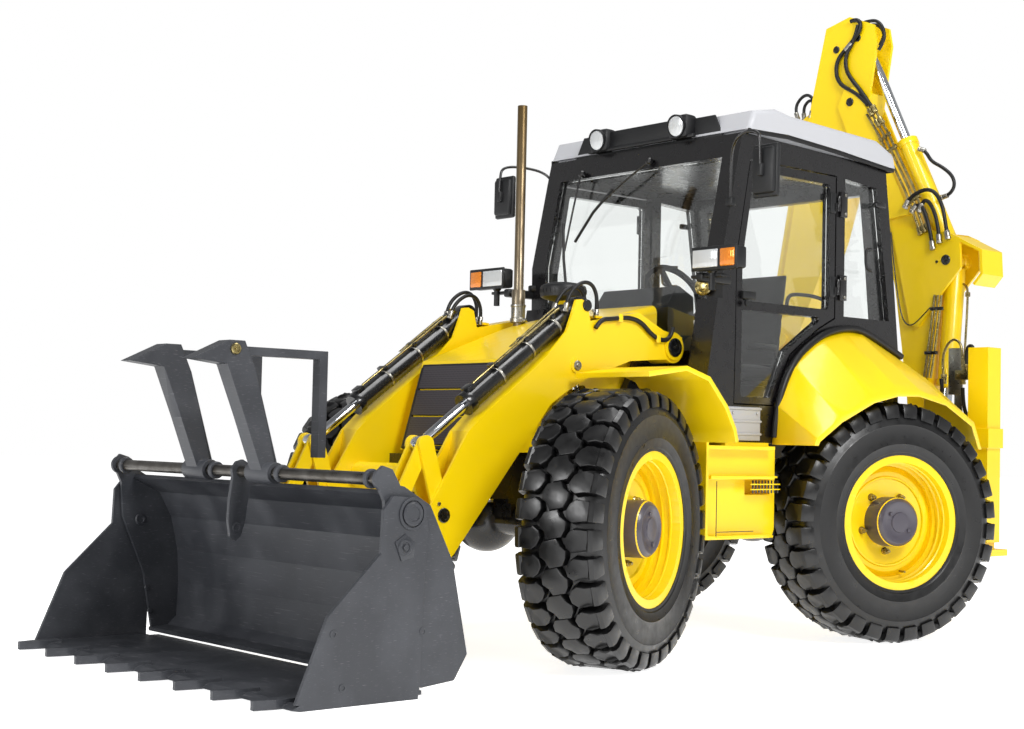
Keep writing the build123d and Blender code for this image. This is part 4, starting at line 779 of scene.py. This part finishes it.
# Grille: a frame round the slats, leaning back with them
lean = Matrix.Rotation(-math.atan2(0.14, 0.48), 4, "X")
grille_frame = [box((0.022, 0.018, 0.46), at(x, -1.372, 1.265), 0.006, lean) for x in (-0.295, 0.295)]
grille_frame += [box((0.60, 0.018, 0.024), at(0, -1.305, 1.49), 0.006, lean),
                 box((0.60, 0.018, 0.020), at(0, -1.436, 1.055), 0.006, lean)]
piece("grille_frame", grille_frame, "chassis", PLASTIC)

# Loader arms: pins, hose loops over the tilt cylinders' feet, and the hose along each arm
ARM_SKIN = 0.540
TILT_X = 0.465
FRONT = Vector((0, -1, 0))
ARM_PINS = [(0, -0.888, 1.815, 0.031, 0.008, 0), (0.0118, -0.230, 1.630, 0.052, 0.010, 0.22),
            (0, -1.813, 0.734, 0.036, 0.009, 0), (0, -2.086, 0.346, 0.046, 0.011, 0.3)]
ARM_HOSE = [(-0.835, 1.700), (-0.800, 1.748), (-0.719, 1.755), (-0.600, 1.772), (-0.500, 1.755),
            (-0.430, 1.700), (-0.373, 1.670), (-0.310, 1.662), (-0.262, 1.690), (-0.250, 1.740)]
LOOP = [(-1.000, 1.790), (-0.990, 1.845), (-0.945, 1.905), (-0.875, 1.945), (-0.812, 1.935),
        (-0.780, 1.885), (-0.775, 1.830), (-0.782, 1.770)]
black_pins = []
steel_pins = []
loops = []
clips = []
for hand in (1, -1):
    out = (hand, 0, 0)
    for proud, y, z, radius, height, bolt in ARM_PINS:
        black_pins += pin_cap(at(hand * (ARM_SKIN + proud), y, z), out, radius, height, bolt)
    steel_pins += pin_cap(at(hand * (ARM_SKIN + 0.0078), -0.955, 1.498), out, 0.026, 0.008, 0.45)
    steel_pins += [hexagon(0.010, 0.008, at(hand * ARM_SKIN, y, z), out)
                   for y, z in ((-1.845, 0.790), (-2.040, 0.405), (-0.845, 1.790))]
    for x, lift in ((0.497, 0.0), (0.433, -0.022)):
        loops.append([at(hand * x, y + lift, z + (lift if z > 1.8 else 0)) for y, z in LOOP])
    clips += [box((0.008, 0.030, 0.044), at(hand * 0.563, y, z)) for y, z in ((-0.66, 1.763), (-0.37, 1.670))]
    clips.append(box((0.10, 0.05, 0.014), at(hand * TILT_X, -0.772, 1.763), 0.004))
piece("arm_pin_heads", black_pins, "loader_arms", BARREL)
piece("arm_pin_bolts", steel_pins, "loader_arms", ZINC, 30)
tubes("arm_side_hoses", [along_side(ARM_HOSE, x) for x in (0.554, -0.554)], 0.0125, "loader_arms", HOSE)
hose_run("arm_top_hoses", loops, 0.0105, "loader_arms")
piece("arm_hose_clips", clips, "loader_arms", ENAMEL)

# Tilt cylinders: two steel pipes over each barrel, with clamps and banjo blocks
FOOT = (-0.888, 1.815)
RUN = (-0.81022, -0.58613)
RISE = (-0.58613, 0.81022)
PIPE_RISE = 0.068


def over_barrel(x, share, rise):
    """A point beside a tilt cylinder: its distance from the foot, and its height over the middle line."""
    return at(x, FOOT[0] + RUN[0] * share + RISE[0] * rise, FOOT[1] + RUN[1] * share + RISE[1] * rise)


pipes = []
blocks = []
straps = []
tilt = Matrix.Rotation(math.atan2(RUN[1], RUN[0]), 4, "X")
for hand in (1, -1):
    middle_x = hand * TILT_X
    for spread, far in ((0.018, 0.86), (-0.018, 0.24)):
        pipes.append([over_barrel(middle_x + spread, share, rise) for share, rise in (
            (0.115, 0.060), (0.150, PIPE_RISE), (0.30, PIPE_RISE), (0.50, PIPE_RISE),
            (far * 0.93 + 0.03, PIPE_RISE), (far, 0.050))])
    for share in (0.20, 0.42, 0.66):
        blocks.append(box((0.070, 0.026, 0.020), over_barrel(middle_x, share, 0.062), 0.003, tilt))
        straps.append(collar(over_barrel(middle_x, share, 0), (0, *RUN), 0.056, 0.0515, 0.014))
    blocks += [box((0.060, 0.050, 0.034), over_barrel(middle_x, 0.86, 0.052), 0.004, tilt),
               box((0.060, 0.045, 0.030), over_barrel(middle_x, 0.115, 0.055), 0.004, tilt)]
tubes("tilt_cylinder_pipes", pipes, 0.0075, "tilt_barrels", PIPE, False)
piece("tilt_cylinder_blocks", blocks, "tilt_barrels", BARREL)
piece("tilt_cylinder_bands", straps, "tilt_barrels", ZINC)

# Front bucket: collars and the catch on the fork tube, and bosses on the sides
LEFTWARD = (1, 0, 0)
TUBE_AT = at(0, -2.647, 0.928)
CLAM_PIN = (-2.511, 0.783)
CATCH = [(-2.693, 0.905), (-2.700, 0.940), (-2.675, 0.975), (-2.640, 0.985), (-2.603, 0.965), (-2.592, 0.915),
         (-2.605, 0.800), (-2.620, 0.690), (-2.640, 0.625), (-2.668, 0.600), (-2.700, 0.625), (-2.712, 0.700),
         (-2.708, 0.790)]
LOCK_PLATE = [(-2.60, 0.665), (-2.545, 0.70), (-2.495, 0.66), (-2.500, 0.60), (-2.565, 0.585)]
collars = [collar(TUBE_AT + Vector((x, 0, 0)), LEFTWARD, 0.042, 0.0282, 0.025)
           for x in (-0.365, -0.195, 0.215, 0.385, -1.10, 1.075)]
piece("fork_tube_collars", collars, "loader_bucket", TOOL)
catch = [plate(CATCH, 0.022, side_plane(0.03), 0.003),
         collar(at(0.0285, -2.665, 0.665), LEFTWARD, 0.026, 0.014, 0.025)]
piece("tube_catch", catch, "loader_bucket", TOOL)
outer = []
inner = []
for hand in (1, -1):
    out = (hand, 0, 0)
    inward = (-hand, 0, 0)
    skin = hand * 1.1998
    outer += pin_cap(at(skin, *CLAM_PIN), out, 0.052, 0.016, 0)
    outer.append(collar(at(skin, *CLAM_PIN), out, 0.070, 0.058, 0.007))
    outer += pin_cap(at(skin, -2.550, 0.643), out, 0.036, 0.012, 0.4)
    outer.append(plate(LOCK_PLATE, 0.005, side_plane(skin if hand > 0 else skin - 0.005), 0.001))
    outer += [collar(at(skin, y, z), out, 0.017, 0.010, 0.003)
              for y, z in ((-2.441, 0.284), (-2.848, 0.079), (-2.900, 0.300))]
    skin = hand * 1.1522
    inner += pin_cap(at(skin, -2.523, 0.640), inward, 0.030, 0.010, 0)
    inner += [hexagon(0.014, 0.010, at(skin, y, z), inward) for y, z in ((-2.474, 0.277), (-2.452, 0.154))]
piece("clam_side_bosses", outer, "clam", TOOL)
piece("bucket_inner_bosses", inner, "loader_bucket", TOOL)

# Pallet forks: yellow-plated pins through their upper knees
knees = []
for x, y, z in ((0.300, -2.851, 1.490), (-0.330, -2.834, 1.490)):
    knees += pin_cap(at(x, y, z), LEFTWARD, 0.026, 0.012, 0.35)
piece("fork_knee_pins", knees, "forks", PIPE)

# Digger: pin heads on the near faces
BOOM_SKIN = 2.382
DIPPER_SKIN = 2.405
heads = []
for x, z, r in ((0.513, 2.350, 0.034), (-0.280, 3.510, 0.030)):
    heads += pin_cap(at(x, BOOM_SKIN, z), FRONT, r, 0.008, 0)
heads.append(hexagon(0.010, 0.008, at(0.445, BOOM_SKIN, 2.342), FRONT))
piece("boom_pin_heads", heads, "boom", BARREL)
heads = []
for x, z, r in ((-0.239, 3.960, 0.028), (-0.420, 3.905, 0.026), (-0.864, 1.872, 0.034),
                (-0.930, 1.620, 0.036)):
    heads += pin_cap(at(x, DIPPER_SKIN, z), FRONT, r, 0.008, 0)
piece("dipper_pin_heads", heads, "dipper", BARREL)

# Digger: hoses over the dipper's head and down to the boom
LONG_HOSE_Y = 2.386
FIRST = [(-0.285, 4.080), (-0.236, 4.088), (-0.200, 4.055), (-0.205, 4.000), (-0.254, 3.950), (-0.312, 3.900),
         (-0.386, 3.840), (-0.408, 3.770), (-0.399, 3.698), (-0.353, 3.635), (-0.263, 3.585), (-0.188, 3.531),
         (-0.129, 3.468)]
SECOND = [(-0.222, 4.045), (-0.239, 3.977), (-0.283, 3.905), (-0.326, 3.845), (-0.322, 3.745),
          (-0.270, 3.664), (-0.195, 3.582), (-0.102, 3.455)]
HEAD = [[(-0.204, 4.062), (-0.116, 4.070), (-0.055, 4.030), (-0.021, 3.960), (-0.030, 3.897),
         (-0.070, 3.850)],
        [(-0.195, 4.045), (-0.110, 4.045), (-0.060, 3.995), (-0.045, 3.940), (-0.085, 3.890)]]
long_hoses = [along_face(line, LONG_HOSE_Y) for line in (FIRST, SECOND)]
tubes("dipper_long_hoses", long_hoses, 0.0145, "dipper", HOSE)
tubes("dipper_head_hoses", [along_face(HEAD[0], 2.420), along_face(HEAD[1], 2.450)], 0.012, "dipper", HOSE)
clamp = box((0.075, 0.030, 0.030), at(-0.300, LONG_HOSE_Y, 3.905), 0.006,
            Matrix.Rotation(math.radians(-40), 4, "Y"))
piece("dipper_hose_clamp", [clamp], "dipper", ZINC)

# Digger: three steel pipes down the boom's upper half, their fittings, and the hoses at its knee
BOOM_PIPE_Y = 2.373
PIPE_RUN = [(-0.100, 3.420), (-0.050, 3.344), (0.019, 3.235), (0.120, 3.045), (0.221, 2.861), (0.300, 2.680),
            (0.348, 2.558)]
runs = [beside(PIPE_RUN, BOOM_PIPE_Y, offset) for offset in (-0.034, 0.0, 0.034)]
tubes("boom_steel_pipes", runs, 0.0088, "boom", PIPE, False)
fits = []
for run in runs[:2]:
    fits += fitting(run[0], run[0] - run[1], 0.0125)
    fits += fitting(run[1] + (run[1] - run[0]) * 0.35, run[1] - run[0], 0.012)
for run in runs:
    fits += fitting(run[-1], run[-1] - run[-2], 0.012)
    fits.append(hexagon(0.017, 0.022, run[2], run[3] - run[2]))
slope = Matrix.Rotation(math.radians(-28), 4, "Y")
fits += [box((0.110, 0.022, 0.024), at(x, BOOM_PIPE_Y, z), 0.004, slope)
         for x, z in ((0.075, 3.130), (0.262, 2.770))]
piece("boom_pipe_fittings", fits, "boom", PIPE, 30)
KNEE = [(0.208, 2.735), (0.232, 2.775), (0.290, 2.813), (0.385, 2.832), (0.453, 2.791), (0.501, 2.694),
        (0.522, 2.577), (0.540, 2.500)]
INNER = [(0.318, 2.700), (0.340, 2.760), (0.386, 2.750), (0.434, 2.668), (0.462, 2.561), (0.470, 2.480)]
THIRD = [(0.262, 2.700), (0.300, 2.745), (0.350, 2.700), (0.385, 2.600), (0.410, 2.500), (0.420, 2.440)]
hose_run("knee_hoses", [along_face(KNEE, 2.362), along_face(INNER, 2.368), along_face(THIRD, 2.366)], 0.013,
         "boom")
RAM = [(0.262, 3.120), (0.300, 3.105), (0.345, 3.030), (0.430, 2.984), (0.512, 2.917), (0.532, 2.846),
       (0.490, 2.790), (0.440, 2.780)]
hose_run("crowd_ram_hose", [along_face(RAM, 2.450)], 0.012, "dipper_barrel")
CROWD_FOOT = [[(-0.774, 3.474), (-0.799, 3.540), (-0.752, 3.609), (-0.690, 3.630), (-0.640, 3.600),
               (-0.634, 3.542), (-0.650, 3.470)],
              [(-0.745, 3.470), (-0.755, 3.540), (-0.715, 3.590), (-0.670, 3.590), (-0.655, 3.540),
               (-0.665, 3.480)]]
hose_run("crowd_foot_hoses", [along_face(CROWD_FOOT[0], 2.42), along_face(CROWD_FOOT[1], 2.46)], 0.0115,
         "dipper")

# Digger: pipes, a weld bead drawn black as painted shade along the plate's edge, and ram pipe on the boom's
# lower half
LOWER_PIPE_Y = 2.374
RAM_PIPE_Y = 2.50
LOWER = [(0.462, 2.120), (0.448, 2.000), (0.425, 1.834), (0.405, 1.700), (0.385, 1.577)]
tubes("lower_boom_pipes", [beside(LOWER, LOWER_PIPE_Y, offset) for offset in (-0.026, 0.0, 0.026)], 0.0085,
      "boom", PIPE, False)
clamps = [box((0.095, 0.022, 0.022), at(x, LOWER_PIPE_Y, z), 0.004)
          for x, z in ((0.452, 2.03), (0.412, 1.74))]
piece("lower_boom_clamps", clamps, "boom", BARREL)
DOUBLER = [(0.076, 2.567), (0.093, 2.420), (0.112, 2.290), (0.140, 2.110), (0.173, 1.985), (0.205, 1.940),
           (0.245, 1.926), (0.295, 1.950), (0.394, 2.040)]
# The bead along the doubler plate's edge is black as painted shade, where the plate stands off the boom's
# side.
tubes("boom_plate_edge_shade", [along_face(DOUBLER, BOOM_SKIN + 0.001)], 0.0045, "boom", BARREL)
SIDE_PIPE = [(0.545, 2.205), (0.592, 2.190), (0.604, 2.150), (0.600, 2.000), (0.588, 1.800), (0.580, 1.640),
             (0.572, 1.605), (0.540, 1.600)]
tubes("boom_ram_pipe", [along_face(SIDE_PIPE, RAM_PIPE_Y)], 0.0078, "boom_barrel", PIPE)
fits = [hexagon(0.017, 0.030, at(0.604, RAM_PIPE_Y, 2.110), UP),
        box((0.045, 0.05, 0.04), at(0.540, RAM_PIPE_Y, 2.205), 0.006),
        box((0.040, 0.05, 0.04), at(0.535, RAM_PIPE_Y, 1.600), 0.006)]
piece("boom_ram_fittings", fits, "boom_barrel", PIPE, 30)

# Swing valve, its plate and hoses beside the post
VALVE_Y = 2.215
valve = [box((0.107, 0.008, 0.300), at(0.6845, 2.250, 1.607)),
         box((0.060, 0.012, 0.260), at(0.700, 2.262, 1.390)),
         box((0.130, 0.060, 0.010), at(0.700, 2.235, 1.295))]
piece("valve_plate", valve, "carriage", ZINC)
manifold = [box((0.187, 0.060, 0.062), at(0.8135, VALVE_Y, 1.580), 0.005)]
manifold += [hexagon(0.011, 0.010, at(x, 2.185, 1.580), FRONT) for x in (0.740, 0.888)]
for x in (0.761, 0.877):
    manifold += fitting(at(x, VALVE_Y, 1.540), -UP, 0.013)
for x in (0.790, 0.838):
    manifold += fitting(at(x, VALVE_Y, 1.630), UP, 0.013)
manifold += fitting(at(0.600, 2.245, 1.570), UP, 0.013)
piece("valve_block", manifold, "carriage", PIPE, 30)
curl = [(0.600, 1.590), (0.588, 1.679), (0.618, 1.773), (0.672, 1.818), (0.722, 1.793), (0.738, 1.738),
        (0.738, 1.640), (0.750, 1.600)]
tubes("valve_curl_pipe", [along_face(curl, 2.240)], 0.0085, "carriage", PIPE)
drop = [[(0.761, 1.500), (0.764, 1.394), (0.800, 1.301), (0.797, 1.200), (0.760, 1.130)],
        [(0.877, 1.500), (0.880, 1.370), (0.872, 1.280), (0.840, 1.190), (0.780, 1.135)],
        [(0.600, 1.560), (0.610, 1.490), (0.596, 1.440), (0.566, 1.400)],
        [(0.790, 1.650), (0.782, 1.715), (0.800, 1.765), (0.830, 1.765), (0.840, 1.715), (0.838, 1.655)]]
tubes("valve_hoses", [along_face(line, VALVE_Y) for line in drop], 0.0125, "carriage", HOSE)

# Clam: the lip of its floor, which closes the seam under the back
piece("clam_floor_lip", [box((2.29, 0.060, 0.020), at(0, -2.425, 0.016))], "clam", TOOL)


# Driver's seat: cushion and back with pulled-in sides and sewn channels, on a moulded base
SEAT_Y = 0.800


def seat_pad(name, size, matrix, crown, channels, along):
    """A stuffed pad: crowned faces, sides pulled in between the corners, and grooves sewn across it."""
    part = bmesh.new()
    bmesh.ops.create_cube(part, size=1.0)
    bmesh.ops.subdivide_edges(part, edges=part.edges, cuts=27, use_grid_fill=True)
    for vert in part.verts:
        a, b, c = (2 * value for value in vert.co)
        pull = 1 - 0.05 * (1 - a * a) * (1 - b * b)
        roundness = max(abs(a), abs(b)) ** 6
        face = crown * (1 - a ** 4) * (1 - b ** 4) * (1 if c > 0 else 0.4)
        groove = 0.0
        share = b if along == "Y" else a
        for line in channels:
            groove = max(groove, math.exp(-((share - line) / 0.045) ** 2))
        depth = c * (0.5 * size[2] * (1 - 0.35 * roundness) + face - 0.010 * groove)
        side = 1 - 0.07 * c * c
        vert.co = (0.5 * size[0] * a * pull * side, 0.5 * size[1] * b * pull * side, depth)
    bmesh.ops.recalc_face_normals(part, faces=part.faces)
    bmesh.ops.transform(part, matrix=matrix, verts=part.verts)
    pad = piece(name, [part], "chassis", CLOTH, 180)


seat_pad("seat_cushion", (0.47, 0.44, 0.095), Matrix.Translation(at(0, SEAT_Y, 1.545)), 0.008, (-0.45, 0.45),
         "X")
recline = Matrix.Rotation(math.radians(82), 4, "X")
seat_pad("seat_back", (0.44, 0.56, 0.085), Matrix.Translation(at(0, 1.062, 1.880)) @ recline, 0.008,
         (-0.40, 0.0, 0.40), "Y")
base = [box((0.38, 0.34, 0.27), at(0, SEAT_Y, 1.335), 0.02),
        box((0.44, 0.42, 0.030), at(0, SEAT_Y, 1.482), 0.010),
        box((0.30, 0.30, 0.03), at(0, SEAT_Y, 1.185), 0.008)]
base += [box((0.40, 0.36, 0.014), at(0, SEAT_Y, 1.245 + i * 0.05), 0.006) for i in range(4)]
for hand in (1, -1):
    base += [box((0.035, 0.27, 0.045), at(hand * 0.240, 0.86, 1.700), 0.014),
             box((0.030, 0.035, 0.16), at(hand * 0.240, 0.98, 1.620), 0.008)]
seat_base = piece("seat_base", base, "chassis", PLASTIC)
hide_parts("cab_seat")

# Step box: black boxes of painted shade in the grating's slot openings, lips and the seam of its door
slot_shade_and_seams = []
steps = []
for hand in (1, -1):
    skin = hand * 0.880
    # Black boxes in the grating's slot openings are painted shade inside them.
    slot_shade_and_seams += [box((0.004, 0.011, 0.070), at(skin, 0.055 + i * 0.026, 0.880), 0.001) for i in range(9)]
    slot_shade_and_seams += [box((0.003, 0.004, 0.30), at(skin - hand * 0.001, -0.235, 0.760), 0),
              box((0.003, 0.30, 0.004), at(skin - hand * 0.001, -0.085, 0.640), 0)]
    steps += [box((0.005, 0.245, 0.007), at(skin, 0.159, z), 0.001) for z in (0.865, 0.893)]
    steps += [box((0.010, 0.280, 0.012), at(skin - hand * 0.004, 0.120, 0.932)),
              box((0.010, 0.480, 0.014), at(skin - hand * 0.004, -0.010, 0.608))]
piece("step_slot_shade_and_door_seams", slot_shade_and_seams, "chassis", BLACK)
piece("step_lips", steps, "chassis", ENAMEL)

# Roof visor: the black panel with slanted ends that the front lamps sit in
across = Matrix(((1, 0, 0, 0), (0, 0, -1, 0), (0, 1, 0, 0), (0, 0, 0, 1)))
visor = plate([(-0.60, 2.815), (0.62, 2.815), (0.55, 2.962), (-0.52, 2.962)], 0.012,
              Matrix.Translation((0, MID + 0.078, 0)) @ across, 0.003)
piece("roof_visor", [visor], "chassis", PLASTIC)

# Camera, fitted to the photograph: a 1024 pixel wide frame with a focal length of 1621 pixels
SENSOR = 36
FOCAL_SHARE = 1621.16 / 1024
CAMERA_AT = (6.6647, -6.5149, 1.1078)
CAMERA_YAW = 0.8556
CAMERA_PITCH = 0.0461
CAMERA_ROLL = 0.0224


def camera():
    """The photograph's view."""
    forward = Vector((-math.sin(CAMERA_YAW) * math.cos(CAMERA_PITCH),
                      math.cos(CAMERA_YAW) * math.cos(CAMERA_PITCH), math.sin(CAMERA_PITCH)))
    right = forward.cross(UP).normalized()
    upward = right.cross(forward)
    cosine, sine = math.cos(CAMERA_ROLL), math.sin(CAMERA_ROLL)
    rolled_right = cosine * right + sine * upward
    rolled_up = cosine * upward - sine * right
    lens = bpy.data.cameras.new("camera")
    lens.sensor_width = SENSOR
    lens.lens = SENSOR * FOCAL_SHARE
    lens.clip_end = 200
    made = bpy.data.objects.new("camera", lens)
    turn = Matrix((rolled_right, rolled_up, -forward)).transposed().to_4x4()
    made.matrix_world = Matrix.Translation(Vector(CAMERA_AT)) @ turn
    bpy.context.scene.collection.objects.link(made)
    bpy.context.scene.camera = made


def soft_light(name, where, target, size, power):
    """A square soft box."""
    light = bpy.data.lights.new(name, "AREA")
    light.size = size
    light.energy = power
    made = bpy.data.objects.new(name, light)
    made.location = where
    made.rotation_mode = "QUATERNION"
    made.rotation_quaternion = (Vector(target) - Vector(where)).to_track_quat("-Z", "Y")
    bpy.context.scene.collection.objects.link(made)


def studio():
    """Pale floor, white surroundings that are dimmer overhead, and three soft boxes."""
    world = bpy.data.worlds.new("studio")
    world.use_nodes = True
    tree = world.node_tree
    facing = add_node(tree, "ShaderNodeTexCoord").outputs["Generated"]
    height = add_node(tree, "ShaderNodeSeparateXYZ", {"Vector": facing}).outputs["Z"]
    overhead = ramp(tree, height, -0.1, 0.85, 0.62, 0.20)
    path = add_node(tree, "ShaderNodeLightPath")
    straight = add_node(tree, "ShaderNodeMath",
                        {0: path.outputs["Is Camera Ray"], 1: path.outputs["Is Transmission Ray"]},
                        operation="MAXIMUM").outputs[0]
    seen = ramp(tree, straight, 0.0, 1.0, overhead, 1.0)
    feed(tree, seen, tree.nodes["Background"], "Strength")
    tree.nodes["Background"].inputs["Color"].default_value = (1, 1, 1, 1)
    bpy.context.scene.world = world
    bpy.context.scene.view_settings.view_transform = "Standard"
    soft_light("key", (8.0, -1.5, 7.0), (0, 0, 1.4), 3.0, 620)
    soft_light("front_fill", (1.0, -10.5, 4.5), (0, -1, 1.0), 3.0, 420)
    soft_light("top", (0.5, 1.5, 9.5), (0, 0, 0), 4.0, 300)
    part = bmesh.new()
    bmesh.ops.create_circle(part, cap_ends=True, segments=96, radius=60)
    mesh = as_mesh(part, "floor")
    floor = bpy.data.objects.new("floor", mesh)
    material, tree, shader, where = start_material("pale_studio_floor", "#f2f2f2", Roughness=0.85,
                                                   Emission_Color=(1, 1, 1, 1), Emission_Strength=0.86)
    bump(tree, shader, noise(tree, where, 60), 0.02, 0.5)
    mesh.materials.append(material)
    bpy.context.scene.collection.objects.link(floor)
    floor.location.z = -0.0005


camera()
studio()
